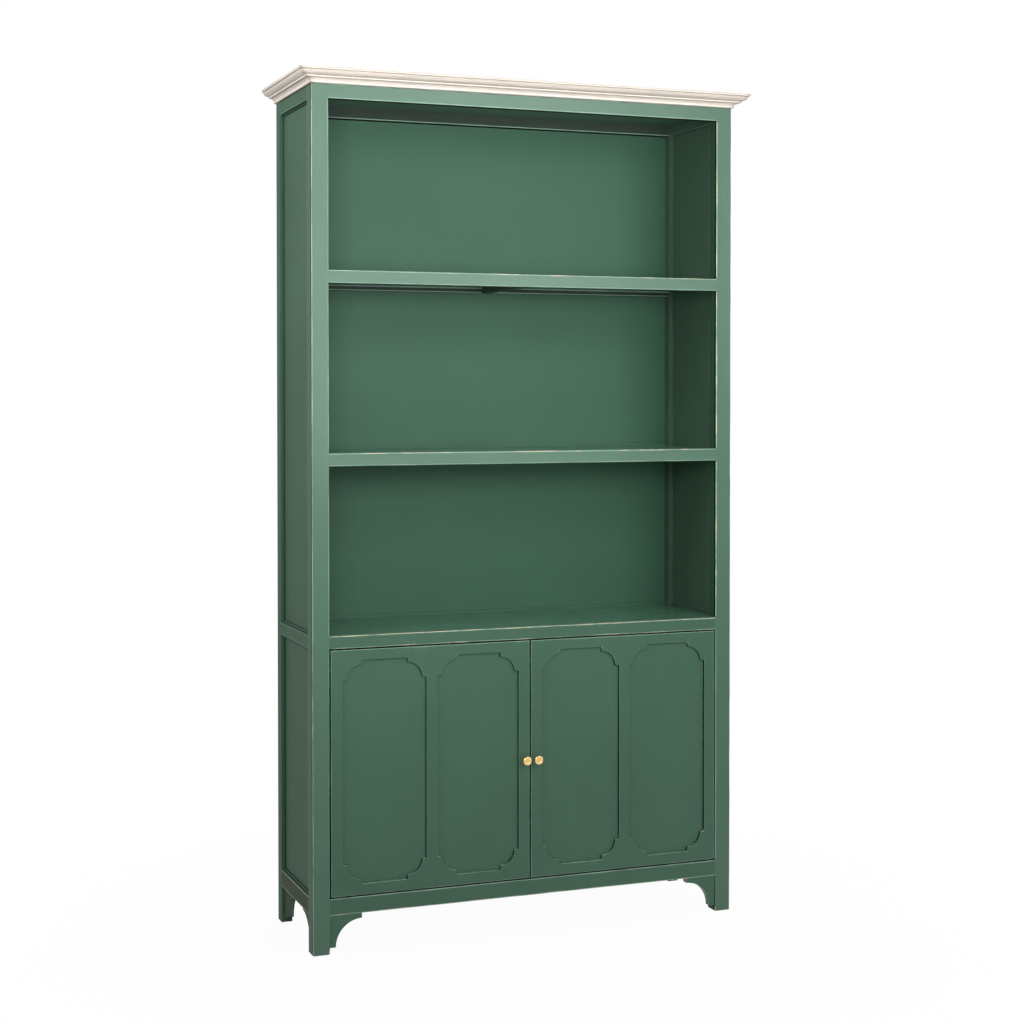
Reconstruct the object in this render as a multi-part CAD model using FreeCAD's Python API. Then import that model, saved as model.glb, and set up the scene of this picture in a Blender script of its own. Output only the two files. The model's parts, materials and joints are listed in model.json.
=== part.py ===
import FreeCAD, Part
import math
import os

# Bookcase with two cabinet doors: a mortised frame of posts and rails with
# sunk side panels, three open bays, a two-door cupboard and a moulded crown.
# Units are millimetres.  X runs across the front, +Y runs to the back and +Z
# up; the origin is at floor level, below the middle of the whole bookcase.

# ---------------------------------------------------------------- driving sizes
OVERALL_HEIGHT = 2200.0     # floor to the top of the crown
CARCASS_WIDTH = 1162.0      # outside of the left posts to outside of the right
CARCASS_DEPTH = 357.0       # front of the front posts to back of the back posts

CROWN_HEIGHT = 35.0
CROWN_WIDTH = 77.0          # of a moulded member, across the grain
CROWN_BACK_WIDTH = 50.0     # of the plain member along the back
CROWN_FRONT_OVERHANG = 40.0
CROWN_SIDE_OVERHANG = 37.0
CROWN_BACK_OVERHANG = 10.0
CROWN_BAND_HEIGHT = 5.5     # flat band at the top
CROWN_BAND_STEP = 4.0       # the band's overhang past the round below it
CROWN_OVOLO_HEIGHT = 12.0   # convex quarter round
CROWN_OVOLO_WIDTH = 14.5
CROWN_FLAT_HEIGHT = 4.5     # flat between the two curves
CROWN_FLAT_STEP = 6.0       # the flat's overhang past the cove below it
CROWN_COVE_RADIUS = 8.0     # concave quarter round
CROWN_FOOT_ROUND = 3.0      # lowest arris
TOP_PANEL_THICKNESS = 12.0
TOP_PANEL_LAP = 12.0        # how far the top panel lies on the crown

FRONT_POST_WIDTH = 44.0
FRONT_POST_DEPTH = 42.0
BACK_POST_WIDTH = 29.0
BACK_POST_DEPTH = 38.0

FRONT_RAIL_DEPTH = 25.0
BACK_RAIL_DEPTH = 25.0      # back rails that lie under a board
SIDE_RAIL_THICKNESS = 29.0
TOP_RAIL_HEIGHT = 35.0
SHELF_RAIL_HEIGHT = 32.0
DECK_RAIL_HEIGHT = 32.0
DECK_BACK_RAIL_HEIGHT = 32.0
BOTTOM_RAIL_HEIGHT = 42.0
BOTTOM_RAIL_CLEARANCE = 97.0  # floor to the underside of the bottom rails
DOOR_OPENING_HEIGHT = 625.0

SHELF_NAMES = ("lower", "upper")
SHELF_THICKNESS = 18.0
FLOOR_THICKNESS = 15.0
BATTEN_WIDTH = 30.0         # batten under the middle of each board
REBATE_WIDTH = 8.0          # ledge in a rail that a board or panel lies on
CEILING_THICKNESS = 5.0
BACK_STRIP_THICKNESS = 6.0  # strip between a board and the back panel
BACK_STRIP_RISE = 6.0       # how far that strip stands above the board

INNER_SHELF_RISE = 305.0    # cupboard floor to the underside of its shelf
INNER_SHELF_SETBACK = 4.0   # from the back of the front posts
CLEAT_SIZE = 18.0

PANEL_SINK = 10.5           # outside face of the frame to the side panels
SIDE_PANEL_THICKNESS = 6.0
BACK_PANEL_THICKNESS = 5.0
BACK_PANEL_SINK = 4.0       # back of the back posts to the back panels
GROOVE_DEPTH = 8.0
PANEL_BEAD_WIDTH = 6.0
PANEL_BEAD_DEPTH = 5.0

TENON_THICKNESS = 9.0
TENON_SHOULDER = 4.0        # edge of a front or back rail to its tenon's edge
SIDE_TENON_SHOULDER = 9.0   # edge of a side rail to its tenon's, clear of the groove
FRONT_TENON_LENGTH = 20.0
SIDE_TENON_LENGTH = 10.0
BACK_TENON_LENGTH = 12.0
FRONT_TENON_SET = 8.0       # front or outer face of a rail to its tenon
BACK_TENON_SET = 12.0       # back face of a back post to the tenons in it

BRACKET_RADIUS = 68.0
BRACKET_LEG = 16.0          # width of the leg that runs down the post
BRACKET_ARM = 13.0          # height of the arm that runs along the rail
BRACKET_THICKNESS = 22.0
FRONT_BRACKET_SETBACK = 2.0
SIDE_BRACKET_SETBACK = 7.0

DOOR_GAP = 3.0
DOOR_BOARD_THICKNESS = 16.0
DOOR_FACE_THICKNESS = 6.0
FIELDS_PER_DOOR = 2
DOOR_STILE = 31.0           # margin beside and between the sunk fields
DOOR_MARGIN = 28.5          # margin above and below the sunk fields
FIELD_STEP = 11.5           # the small square step at a field's corner
FIELD_RADIUS = 38.5         # the quarter round between its two steps

PIVOT_INSET = 20.0          # door edge to the pivot's axis
PIVOT_SETBACK = 9.0         # door front to the pivot's axis
PIVOT_RADIUS = 3.0
PIVOT_REACH = 5.0           # how far a pin goes into the wood past its plate
PIVOT_COLLAR_RADIUS = 5.0
PLATE_LENGTH = 60.0
PLATE_WIDTH = 12.0
PLATE_THICKNESS = 2.5
PLATE_TAIL = 10.0           # plate end to the pivot's axis
PLATE_SCREW_PLACES = (17.0, 38.0)   # pivot's axis to each screw

KNOB_RADIUS = 12.0
KNOB_PROJECTION = 25.0
KNOB_HEAD = 9.0             # thickness of the head
KNOB_NECK_RADIUS = 5.0
KNOB_DISC_RADIUS = 5.7
KNOB_DISC_SINK = 1.7
KNOB_BEVEL = 2.0
KNOB_EDGE_DISTANCE = 14.5   # meeting edge of a door to its knob
KNOB_SCREW_RADIUS = 2.0
KNOB_SCREW_GRIP = 8.0       # length of screw inside the knob
KNOB_SCREW_HEAD_RADIUS = 4.0
KNOB_SCREW_HEAD_HEIGHT = 2.0

CATCH_LENGTH = 64.0
CATCH_DEPTH = 18.0
CATCH_HEIGHT = 14.0
CATCH_SCREW_SPACING = 20.0
CATCH_SCREW_GRIP = 8.0      # length of screw in the batten above the catch
STRIKE_WIDTH = 24.0
STRIKE_HEIGHT = 10.0
STRIKE_THICKNESS = 1.0
STRIKE_EDGE_DISTANCE = 4.0

SCREW_RADIUS = 1.6
SCREW_HEAD_RADIUS = 3.2
SCREW_HEAD_HEIGHT = 1.6
SCREW_LENGTH = 14.0

EDGE_EASE = 1.5             # rounding of the arrises that hands meet

# -------------------------------------------------------------------- clearances
TENON_CLEARANCE = 0.15
GROOVE_CLEARANCE = 0.15
BOARD_CLEARANCE = 0.3
SEAT_GAP = 0.3              # between a moving piece and what stops or carries it
PIN_CLEARANCE = 0.05
SCREW_CLEARANCE = 0.05
BORE_CLEARANCE = 0.5        # pin in the wood behind its plate

# ---------------------------------------------------------------- derived places
HALF_WIDTH = CARCASS_WIDTH / 2
FRONT = (CROWN_FRONT_OVERHANG - CARCASS_DEPTH - CROWN_BACK_OVERHANG) / 2
BACK = FRONT + CARCASS_DEPTH

POST_TOP = OVERALL_HEIGHT - CROWN_HEIGHT
TOP_RAIL_BOTTOM = POST_TOP - TOP_RAIL_HEIGHT
FLOOR_TOP = BOTTOM_RAIL_CLEARANCE + BOTTOM_RAIL_HEIGHT
DECK_RAIL_BOTTOM = FLOOR_TOP + DOOR_OPENING_HEIGHT
DECK_TOP = DECK_RAIL_BOTTOM + DECK_RAIL_HEIGHT
SHELF_COUNT = len(SHELF_NAMES)
BAY_HEIGHT = (TOP_RAIL_BOTTOM - DECK_TOP - SHELF_COUNT * SHELF_RAIL_HEIGHT) / (SHELF_COUNT + 1)
SHELF_TOPS = [DECK_TOP + number * (BAY_HEIGHT + SHELF_RAIL_HEIGHT)
              for number in range(1, SHELF_COUNT + 1)]
DECK_BACK_RAIL_TOP = DECK_TOP - SHELF_THICKNESS
DECK_BACK_RAIL_BOTTOM = DECK_BACK_RAIL_TOP - DECK_BACK_RAIL_HEIGHT
FLOOR_BACK_RAIL_TOP = FLOOR_TOP - FLOOR_THICKNESS

FRONT_POST_INNER = HALF_WIDTH - FRONT_POST_WIDTH
FRONT_POST_BACK = FRONT + FRONT_POST_DEPTH
BACK_POST_INNER = HALF_WIDTH - BACK_POST_WIDTH
BACK_POST_FRONT = BACK - BACK_POST_DEPTH
SIDE_RAIL_INNER = HALF_WIDTH - SIDE_RAIL_THICKNESS
FRONT_RAIL_BACK = FRONT + FRONT_RAIL_DEPTH
REBATE_FRONT = FRONT_RAIL_BACK - REBATE_WIDTH
BACK_PANEL_BACK = BACK - BACK_PANEL_SINK
BACK_PANEL_FRONT = BACK_PANEL_BACK - BACK_PANEL_THICKNESS
BACK_RAIL_FRONT = BACK_PANEL_FRONT - BACK_RAIL_DEPTH
SIDE_PANEL_OUTER = HALF_WIDTH - PANEL_SINK
SIDE_PANEL_INNER = SIDE_PANEL_OUTER - SIDE_PANEL_THICKNESS
BACK_TENON_BACK = BACK - BACK_TENON_SET
PANEL_TONGUE = GROOVE_DEPTH - BOARD_CLEARANCE

DOOR_THICKNESS = DOOR_BOARD_THICKNESS + DOOR_FACE_THICKNESS
DOOR_OUTER = FRONT_POST_INNER - DOOR_GAP
DOOR_INNER = DOOR_GAP / 2
DOOR_BOTTOM = FLOOR_TOP + DOOR_GAP
DOOR_TOP = DECK_RAIL_BOTTOM - DOOR_GAP
DOOR_BACK = FRONT + DOOR_THICKNESS
DOOR_FACE_BACK = FRONT + DOOR_FACE_THICKNESS
PIVOT_X = DOOR_OUTER - PIVOT_INSET
PIVOT_Y = FRONT + PIVOT_SETBACK
KNOB_X = DOOR_INNER + KNOB_EDGE_DISTANCE
KNOB_Z = (DOOR_BOTTOM + DOOR_TOP) / 2
INNER_SHELF_BOTTOM = FLOOR_TOP + INNER_SHELF_RISE


UP = FreeCAD.Vector(0, 0, 1)
DOWN = FreeCAD.Vector(0, 0, -1)
REARWARD = FreeCAD.Vector(0, 1, 0)
FORWARD = FreeCAD.Vector(0, -1, 0)
INWARD = FreeCAD.Vector(-1, 0, 0)   # on the right-hand half


# --------------------------------------------------------------------- shape tools
def block(x_span, y_span, z_span):
    """Return a rectangular solid from three (low, high) spans."""
    corner = FreeCAD.Vector(x_span[0], y_span[0], z_span[0])
    return Part.makeBox(x_span[1] - x_span[0], y_span[1] - y_span[0], z_span[1] - z_span[0], corner)


def eased(solid, places, radius=EDGE_EASE):
    """Round the straight edges of a block that lie at the given places.

    A place gives two of x, y and z, and names the edge that runs along the third.
    """
    chosen = []
    for edge in solid.Edges:
        middle = edge.CenterOfMass
        for place in places:
            misses = [abs(getattr(middle, axis) - value) for axis, value in place.items()]
            if max(misses) < 1e-6:
                chosen.append(edge)
    return solid.makeFillet(radius, chosen)


def prism(edges, length, direction):
    """Extrude the closed outline that the edges make."""
    return Part.Face(Part.Wire(edges)).extrude(direction * length)


def flat_prism(corners, length, direction):
    """Extrude the polygon with the given corners."""
    return prism(Part.makePolygon(corners + [corners[0]]).Edges, length, direction)


def plan_prism(places, z_span):
    """Raise a plan outline of (x, y) places between two heights."""
    corners = [FreeCAD.Vector(x, y, z_span[0]) for x, y in places]
    return flat_prism(corners, z_span[1] - z_span[0], UP)


def rod(base, direction, radius, length):
    """Return a round bar."""
    return Part.makeCylinder(radius, length, base, direction)


def turned(profile, base, direction):
    """Turn (radius, distance) points about a line through the base point."""
    outline = Part.makePolygon([FreeCAD.Vector(r, 0, d) for r, d in profile + [profile[0]]])
    solid = Part.Face(outline).revolve(FreeCAD.Vector(0, 0, 0), UP, 360)
    solid.Placement = FreeCAD.Placement(base, FreeCAD.Rotation(UP, direction))
    return solid


def mirrored(shape):
    """Return the shape on the other side of the middle plane."""
    return shape.mirror(FreeCAD.Vector(0, 0, 0), FreeCAD.Vector(1, 0, 0))


def both_sides(shapes):
    """Return the shapes and their mirror images."""
    return shapes + [mirrored(shape) for shape in shapes]


def without(shape, cuts):
    """Cut every given shape away."""
    return shape.cut(cuts) if cuts else shape


def widened(span, amount):
    """Return a (low, high) span grown by an amount at both ends."""
    return (span[0] - amount, span[1] + amount)


def save(name, shapes):
    """Write one node's file from a solid or a list of solids."""
    solids = shapes if isinstance(shapes, list) else [shapes]
    whole = solids[0] if len(solids) == 1 else Part.makeCompound(solids)
    whole.exportStep(os.path.join("parts", name + ".step"))


def save_pair(name, shape):
    """Write the right-hand piece and its mirror image on the left."""
    save("right_" + name, shape)
    both = [mirrored(solid) for solid in shape] if isinstance(shape, list) else mirrored(shape)
    save("left_" + name, both)


# ------------------------------------------------------------- joints of the frame
def tenon_span(z_span, clearance, shoulder=TENON_SHOULDER):
    """Return the height span of the tenon on a rail, or of its mortise."""
    return widened(z_span, clearance - shoulder)


def front_tenon(z_span, clearance=0.0):
    """Return the right-hand tenon of a front rail, or its mortise."""
    y_span = (FRONT + FRONT_TENON_SET, FRONT + FRONT_TENON_SET + TENON_THICKNESS)
    x_span = (FRONT_POST_INNER, FRONT_POST_INNER + FRONT_TENON_LENGTH + clearance)
    return block(x_span, widened(y_span, clearance), tenon_span(z_span, clearance))


def back_tenon(z_span, clearance=0.0):
    """Return the right-hand tenon of a back rail, or its mortise."""
    y_span = (BACK_TENON_BACK - TENON_THICKNESS, BACK_TENON_BACK)
    x_span = (BACK_POST_INNER, BACK_POST_INNER + BACK_TENON_LENGTH + clearance)
    return block(x_span, widened(y_span, clearance), tenon_span(z_span, clearance))


def side_tenons(z_span, clearance=0.0):
    """Return the two tenons of a right-hand side rail, or their mortises."""
    x_outer = HALF_WIDTH - FRONT_TENON_SET
    x_span = widened((x_outer - TENON_THICKNESS, x_outer), clearance)
    reach = SIDE_TENON_LENGTH + clearance
    heights = tenon_span(z_span, clearance, SIDE_TENON_SHOULDER)
    return [block(x_span, (FRONT_POST_BACK - reach, FRONT_POST_BACK), heights),
            block(x_span, (BACK_POST_FRONT, BACK_POST_FRONT + reach), heights)]


TOP_SPAN = (TOP_RAIL_BOTTOM, POST_TOP)
DECK_SPAN = (DECK_RAIL_BOTTOM, DECK_TOP)
BOTTOM_SPAN = (BOTTOM_RAIL_CLEARANCE, FLOOR_TOP)
SHELF_SPANS = [(top - SHELF_RAIL_HEIGHT, top) for top in SHELF_TOPS]
DECK_BACK_SPAN = (DECK_BACK_RAIL_BOTTOM, DECK_BACK_RAIL_TOP)
BOTTOM_BACK_SPAN = (BOTTOM_RAIL_CLEARANCE, FLOOR_BACK_RAIL_TOP)
SHELF_BACK_SPANS = [(top - SHELF_RAIL_HEIGHT, top - SHELF_THICKNESS) for top in SHELF_TOPS]
FRONT_RAIL_SPANS = [TOP_SPAN, DECK_SPAN, BOTTOM_SPAN] + SHELF_SPANS
BACK_RAIL_SPANS = [TOP_SPAN, DECK_BACK_SPAN, BOTTOM_BACK_SPAN] + SHELF_BACK_SPANS
SIDE_RAIL_SPANS = [TOP_SPAN, DECK_SPAN, BOTTOM_SPAN]
UPPER_FIELD = (DECK_TOP, TOP_RAIL_BOTTOM)
LOWER_FIELD = (FLOOR_TOP, DECK_RAIL_BOTTOM)


def side_panel_spans(field):
    """Return the y and z spans of a side panel, with its tongues, for a field."""
    y_span = widened((FRONT_POST_BACK, BACK_POST_FRONT), PANEL_TONGUE)
    return y_span, widened(field, PANEL_TONGUE)


def side_groove(field):
    """Return what a side panel's tongues need cut from the frame round them."""
    x_span = widened((SIDE_PANEL_INNER, SIDE_PANEL_OUTER), GROOVE_CLEARANCE)
    y_span = widened((FRONT_POST_BACK, BACK_POST_FRONT), GROOVE_DEPTH)
    return block(x_span, y_span, widened(field, GROOVE_DEPTH))


UPPER_BACK_FIELD = (DECK_BACK_RAIL_TOP, TOP_RAIL_BOTTOM)
LOWER_BACK_FIELD = (FLOOR_BACK_RAIL_TOP, DECK_BACK_RAIL_BOTTOM)


def back_groove(field):
    """Return what a back panel's tongues need cut from the frame round them."""
    half = BACK_POST_INNER + GROOVE_DEPTH
    y_span = widened((BACK_PANEL_FRONT, BACK_PANEL_BACK), GROOVE_CLEARANCE)
    return block((-half, half), y_span, widened(field, GROOVE_DEPTH))


# ------------------------------------------------------------------ screws and pivots
def countersink(head, direction, clearance=0.0, length=SCREW_LENGTH):
    """Return a countersunk wood screw, or the hole that takes it."""
    neck = SCREW_RADIUS + clearance
    rim = SCREW_HEAD_RADIUS + clearance
    profile = [(0, 0), (rim, 0), (neck, SCREW_HEAD_HEIGHT + clearance),
               (neck, length + clearance), (0, length + clearance)]
    return turned(profile, head, direction)


PLATE_X_SPAN = (PIVOT_X - PLATE_LENGTH + PLATE_TAIL, PIVOT_X + PLATE_TAIL)
PLATE_Y_SPAN = (PIVOT_Y - PLATE_WIDTH / 2, PIVOT_Y + PLATE_WIDTH / 2)
PIVOT_LEVELS = [(DOOR_TOP, DECK_RAIL_BOTTOM, UP), (DOOR_BOTTOM, FLOOR_TOP, DOWN)]


def plate(face_z, into, margin=0.0):
    """Return a plate let into the wood at a height, or its recess."""
    z_ends = sorted((face_z, face_z + into.z * (PLATE_THICKNESS + margin)))
    return block(widened(PLATE_X_SPAN, margin), widened(PLATE_Y_SPAN, margin), z_ends)


def plate_screws(face_z, into, clearance=0.0):
    """Return the screws of one plate, or their holes."""
    return [countersink(FreeCAD.Vector(PIVOT_X - place, PIVOT_Y, face_z), into, clearance)
            for place in PLATE_SCREW_PLACES]


def door_pivots():
    """Return the right door's two pivot plates, each with its pin."""
    pivots = []
    for door_z, frame_z, outward in PIVOT_LEVELS:
        shape = without(plate(door_z, -outward), plate_screws(door_z, -outward, SCREW_CLEARANCE))
        pin = rod(FreeCAD.Vector(PIVOT_X, PIVOT_Y, door_z), outward, PIVOT_RADIUS,
                  DOOR_GAP + PLATE_THICKNESS + PIVOT_REACH)
        shape = shape.fuse(pin)
        if outward.z < 0:
            collar = rod(FreeCAD.Vector(PIVOT_X, PIVOT_Y, door_z), outward, PIVOT_COLLAR_RADIUS,
                         DOOR_GAP - SEAT_GAP)
            shape = shape.fuse(collar)
        pivots.append(shape.removeSplitter().Solids[0])
    return pivots


def frame_plates():
    """Return the right-hand plates let into the rails, with their pin holes."""
    plates = []
    for _, frame_z, outward in PIVOT_LEVELS:
        hole = rod(FreeCAD.Vector(PIVOT_X, PIVOT_Y, frame_z), outward,
                   PIVOT_RADIUS + PIN_CLEARANCE, PLATE_THICKNESS)
        cuts = [hole] + plate_screws(frame_z, outward, SCREW_CLEARANCE)
        plates.append(without(plate(frame_z, outward), cuts))
    return plates


def pivot_cuts(face_z, outward):
    """Return the right-hand recess, bore and screw holes in a rail."""
    depth = PLATE_THICKNESS + PIVOT_REACH + BORE_CLEARANCE
    bore = rod(FreeCAD.Vector(PIVOT_X, PIVOT_Y, face_z), outward, PIVOT_RADIUS + BORE_CLEARANCE, depth)
    screws = plate_screws(face_z, outward, SCREW_CLEARANCE)
    return [plate(face_z, outward, TENON_CLEARANCE), bore] + screws


# --------------------------------------------------------------------- frame pieces
def make_posts():
    """Write the four posts with their mortises and panel grooves."""
    grooves = [side_groove(UPPER_FIELD), side_groove(LOWER_FIELD)]
    side_mortises = []
    for span in SIDE_RAIL_SPANS:
        side_mortises += side_tenons(span, TENON_CLEARANCE)
    front = block((FRONT_POST_INNER, HALF_WIDTH), (FRONT, FRONT_POST_BACK), (0, POST_TOP))
    front = eased(front, [{"x": HALF_WIDTH, "y": FRONT}, {"x": FRONT_POST_INNER, "y": FRONT_POST_BACK}])
    front_mortises = [front_tenon(span, TENON_CLEARANCE) for span in FRONT_RAIL_SPANS]
    save_pair("front_post", without(front, grooves + side_mortises + front_mortises))

    back = block((BACK_POST_INNER, HALF_WIDTH), (BACK_POST_FRONT, BACK), (0, POST_TOP))
    back = eased(back, [{"x": HALF_WIDTH, "y": BACK}, {"x": BACK_POST_INNER, "y": BACK_POST_FRONT}])
    back_mortises = [back_tenon(span, TENON_CLEARANCE) for span in BACK_RAIL_SPANS]
    back_grooves = [back_groove(UPPER_BACK_FIELD), back_groove(LOWER_BACK_FIELD)]
    save_pair("back_post", without(back, grooves + side_mortises + back_mortises + back_grooves))


def front_rail(z_span, eased_heights, cuts):
    """Return a front rail with tenons, rounded along its exposed front edges."""
    rail = block((-FRONT_POST_INNER, FRONT_POST_INNER), (FRONT, FRONT_RAIL_BACK), z_span)
    rail = eased(rail, [{"y": FRONT, "z": height} for height in eased_heights])
    tenon = front_tenon(z_span)
    return without(rail, cuts).fuse([tenon, mirrored(tenon)]).removeSplitter()


def rebate(z_span):
    """Return the ledge cut along the back of a front rail for a board."""
    return block((-FRONT_POST_INNER, FRONT_POST_INNER), (REBATE_FRONT, FRONT_RAIL_BACK), z_span)


def make_front_rails():
    """Write the front rails and the rails at the front of each shelf."""
    ceiling_ledge = rebate((POST_TOP - CEILING_THICKNESS, POST_TOP))
    save("front_top_rail", front_rail(TOP_SPAN, [TOP_RAIL_BOTTOM], [ceiling_ledge]))
    deck_cuts = [rebate((DECK_TOP - SHELF_THICKNESS, DECK_TOP))]
    deck_cuts += both_sides(pivot_cuts(DECK_RAIL_BOTTOM, UP))
    save("front_deck_rail", front_rail(DECK_SPAN, [DECK_RAIL_BOTTOM, DECK_TOP], deck_cuts))
    floor_cuts = [rebate((FLOOR_TOP - FLOOR_THICKNESS, FLOOR_TOP))]
    floor_cuts += both_sides(pivot_cuts(FLOOR_TOP, DOWN))
    save("front_bottom_rail", front_rail(BOTTOM_SPAN, [FLOOR_TOP], floor_cuts))
    for name, span in zip(SHELF_NAMES, SHELF_SPANS):
        ledge = rebate((span[1] - SHELF_THICKNESS, span[1]))
        save(name + "_shelf_front_rail", front_rail(span, span, [ledge]))


def back_rail(y_front, y_back, z_span, cuts):
    """Return a back rail with its tenons."""
    rail = block((-BACK_POST_INNER, BACK_POST_INNER), (y_front, y_back), z_span)
    tenon = back_tenon(z_span)
    return without(rail, cuts).fuse([tenon, mirrored(tenon)]).removeSplitter()


def make_back_rails():
    """Write the back rails and the rails at the back of each shelf."""
    upper = back_groove(UPPER_BACK_FIELD)
    lower = back_groove(LOWER_BACK_FIELD)
    ledge = block((-BACK_POST_INNER, BACK_POST_INNER), (BACK_POST_FRONT, BACK_POST_FRONT + REBATE_WIDTH),
                  (POST_TOP - CEILING_THICKNESS, POST_TOP))
    save("back_top_rail", back_rail(BACK_POST_FRONT, BACK, TOP_SPAN, [upper, ledge]))
    save("back_deck_rail", back_rail(BACK_RAIL_FRONT, BACK, DECK_BACK_SPAN, [upper, lower]))
    save("back_bottom_rail", back_rail(BACK_RAIL_FRONT, BACK, BOTTOM_BACK_SPAN, [lower]))
    for name, span in zip(SHELF_NAMES, SHELF_BACK_SPANS):
        save(name + "_shelf_back_rail", back_rail(BACK_RAIL_FRONT, BACK_PANEL_FRONT, span, []))


def make_side_rails():
    """Write the three rails of each side."""
    grooves = [side_groove(UPPER_FIELD), side_groove(LOWER_FIELD)]
    for name, span in zip(("top", "middle", "bottom"), SIDE_RAIL_SPANS):
        rail = block((SIDE_RAIL_INNER, HALF_WIDTH), (FRONT_POST_BACK, BACK_POST_FRONT), span)
        rail = without(rail, grooves).fuse(side_tenons(span)).removeSplitter()
        save_pair(name + "_rail", rail)


# --------------------------------------------------------------------------- boards
def notched_board(side_x, y_span, z_span):
    """Return a board that reaches from side to side and is notched round the posts."""
    reach = side_x - BOARD_CLEARANCE
    front_notch = block(widened((FRONT_POST_INNER, HALF_WIDTH), BOARD_CLEARANCE),
                        widened((FRONT, FRONT_POST_BACK), BOARD_CLEARANCE), z_span)
    back_notch = block(widened((BACK_POST_INNER, HALF_WIDTH), BOARD_CLEARANCE),
                       widened((BACK_POST_FRONT, BACK), BOARD_CLEARANCE), z_span)
    return without(block((-reach, reach), y_span, z_span), both_sides([front_notch, back_notch]))


def make_boards():
    """Write the shelf, deck and floor boards, the ceiling and what lies under them."""
    strip_front = BACK_PANEL_FRONT - BACK_STRIP_THICKNESS
    board_y = (REBATE_FRONT, strip_front)
    save("deck_board", notched_board(SIDE_RAIL_INNER, board_y, (DECK_TOP - SHELF_THICKNESS, DECK_TOP)))
    floor_z = (FLOOR_TOP - FLOOR_THICKNESS, FLOOR_TOP)
    save("cabinet_floor", notched_board(SIDE_RAIL_INNER, (REBATE_FRONT, BACK_PANEL_FRONT), floor_z))
    for name, top in zip(SHELF_NAMES, SHELF_TOPS):
        save(name + "_shelf_board", notched_board(SIDE_PANEL_INNER, board_y, (top - SHELF_THICKNESS, top)))
    ceiling_y = (REBATE_FRONT, BACK_POST_FRONT + REBATE_WIDTH)
    ceiling_z = (POST_TOP - CEILING_THICKNESS, POST_TOP)
    save("ceiling_panel", notched_board(SIDE_RAIL_INNER, ceiling_y, ceiling_z))

    batten_x = (-BATTEN_WIDTH / 2, BATTEN_WIDTH / 2)
    batten_y = (FRONT_RAIL_BACK, BACK_RAIL_FRONT)
    battens = [block(batten_x, batten_y, (span[0], span[1] - SHELF_THICKNESS))
               for span in SHELF_SPANS + [DECK_SPAN]]
    save("centre_battens", [without(batten, catch_screws(SCREW_CLEARANCE)) for batten in battens])

    strip_x = (-BACK_POST_INNER, BACK_POST_INNER)
    strip_y = (strip_front, BACK_PANEL_FRONT)
    save("shelf_back_strips", [block(strip_x, strip_y, (top - SHELF_THICKNESS, top + BACK_STRIP_RISE))
                               for top in [DECK_TOP] + SHELF_TOPS])


def make_inner_shelf():
    """Write the cupboard's loose shelf and the two cleats that carry it."""
    y_front = FRONT_POST_BACK + INNER_SHELF_SETBACK
    z_span = (INNER_SHELF_BOTTOM, INNER_SHELF_BOTTOM + SHELF_THICKNESS)
    shelf = notched_board(SIDE_PANEL_INNER, (y_front, BACK_PANEL_FRONT - BOARD_CLEARANCE), z_span)
    save("cabinet_shelf", eased(shelf, [{"y": y_front, "z": height} for height in z_span]))
    cleat = block((SIDE_PANEL_INNER - CLEAT_SIZE, SIDE_PANEL_INNER), (FRONT_POST_BACK, BACK_POST_FRONT),
                  (INNER_SHELF_BOTTOM - CLEAT_SIZE, INNER_SHELF_BOTTOM))
    save("cabinet_shelf_cleats", both_sides([cleat]))


# --------------------------------------------------------------------------- panels
def panel_beads(field):
    """Return the four mitred strips in front of a right-hand side panel."""
    x_span = (SIDE_PANEL_OUTER, SIDE_PANEL_OUTER + PANEL_BEAD_DEPTH)
    outer = [(FRONT_POST_BACK, field[0]), (BACK_POST_FRONT, field[0]),
             (BACK_POST_FRONT, field[1]), (FRONT_POST_BACK, field[1])]
    inward = [(1, 1), (-1, 1), (-1, -1), (1, -1)]
    inner = [(y + sy * PANEL_BEAD_WIDTH, z + sz * PANEL_BEAD_WIDTH)
             for (y, z), (sy, sz) in zip(outer, inward)]
    strips = []
    for number in range(len(outer)):
        following = (number + 1) % len(outer)
        ring = [outer[number], outer[following], inner[following], inner[number]]
        corners = [FreeCAD.Vector(x_span[0], y, z) for y, z in ring]
        strips.append(flat_prism(corners, PANEL_BEAD_DEPTH, FreeCAD.Vector(1, 0, 0)))
    return strips


def make_panels():
    """Write the side panels, the beads round them and the back panels."""
    for name, field in (("upper", UPPER_FIELD), ("lower", LOWER_FIELD)):
        y_span, z_span = side_panel_spans(field)
        panel = block((SIDE_PANEL_INNER, SIDE_PANEL_OUTER), y_span, z_span)
        save_pair(name + "_panel", panel)
    save("side_panel_beads", both_sides(panel_beads(UPPER_FIELD) + panel_beads(LOWER_FIELD)))

    half = BACK_POST_INNER + PANEL_TONGUE
    back_y = (BACK_PANEL_FRONT, BACK_PANEL_BACK)
    save("upper_back_panel", block((-half, half), back_y, widened(UPPER_BACK_FIELD, PANEL_TONGUE)))
    save("lower_back_panel", block((-half, half), back_y, widened(LOWER_BACK_FIELD, PANEL_TONGUE)))


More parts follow.
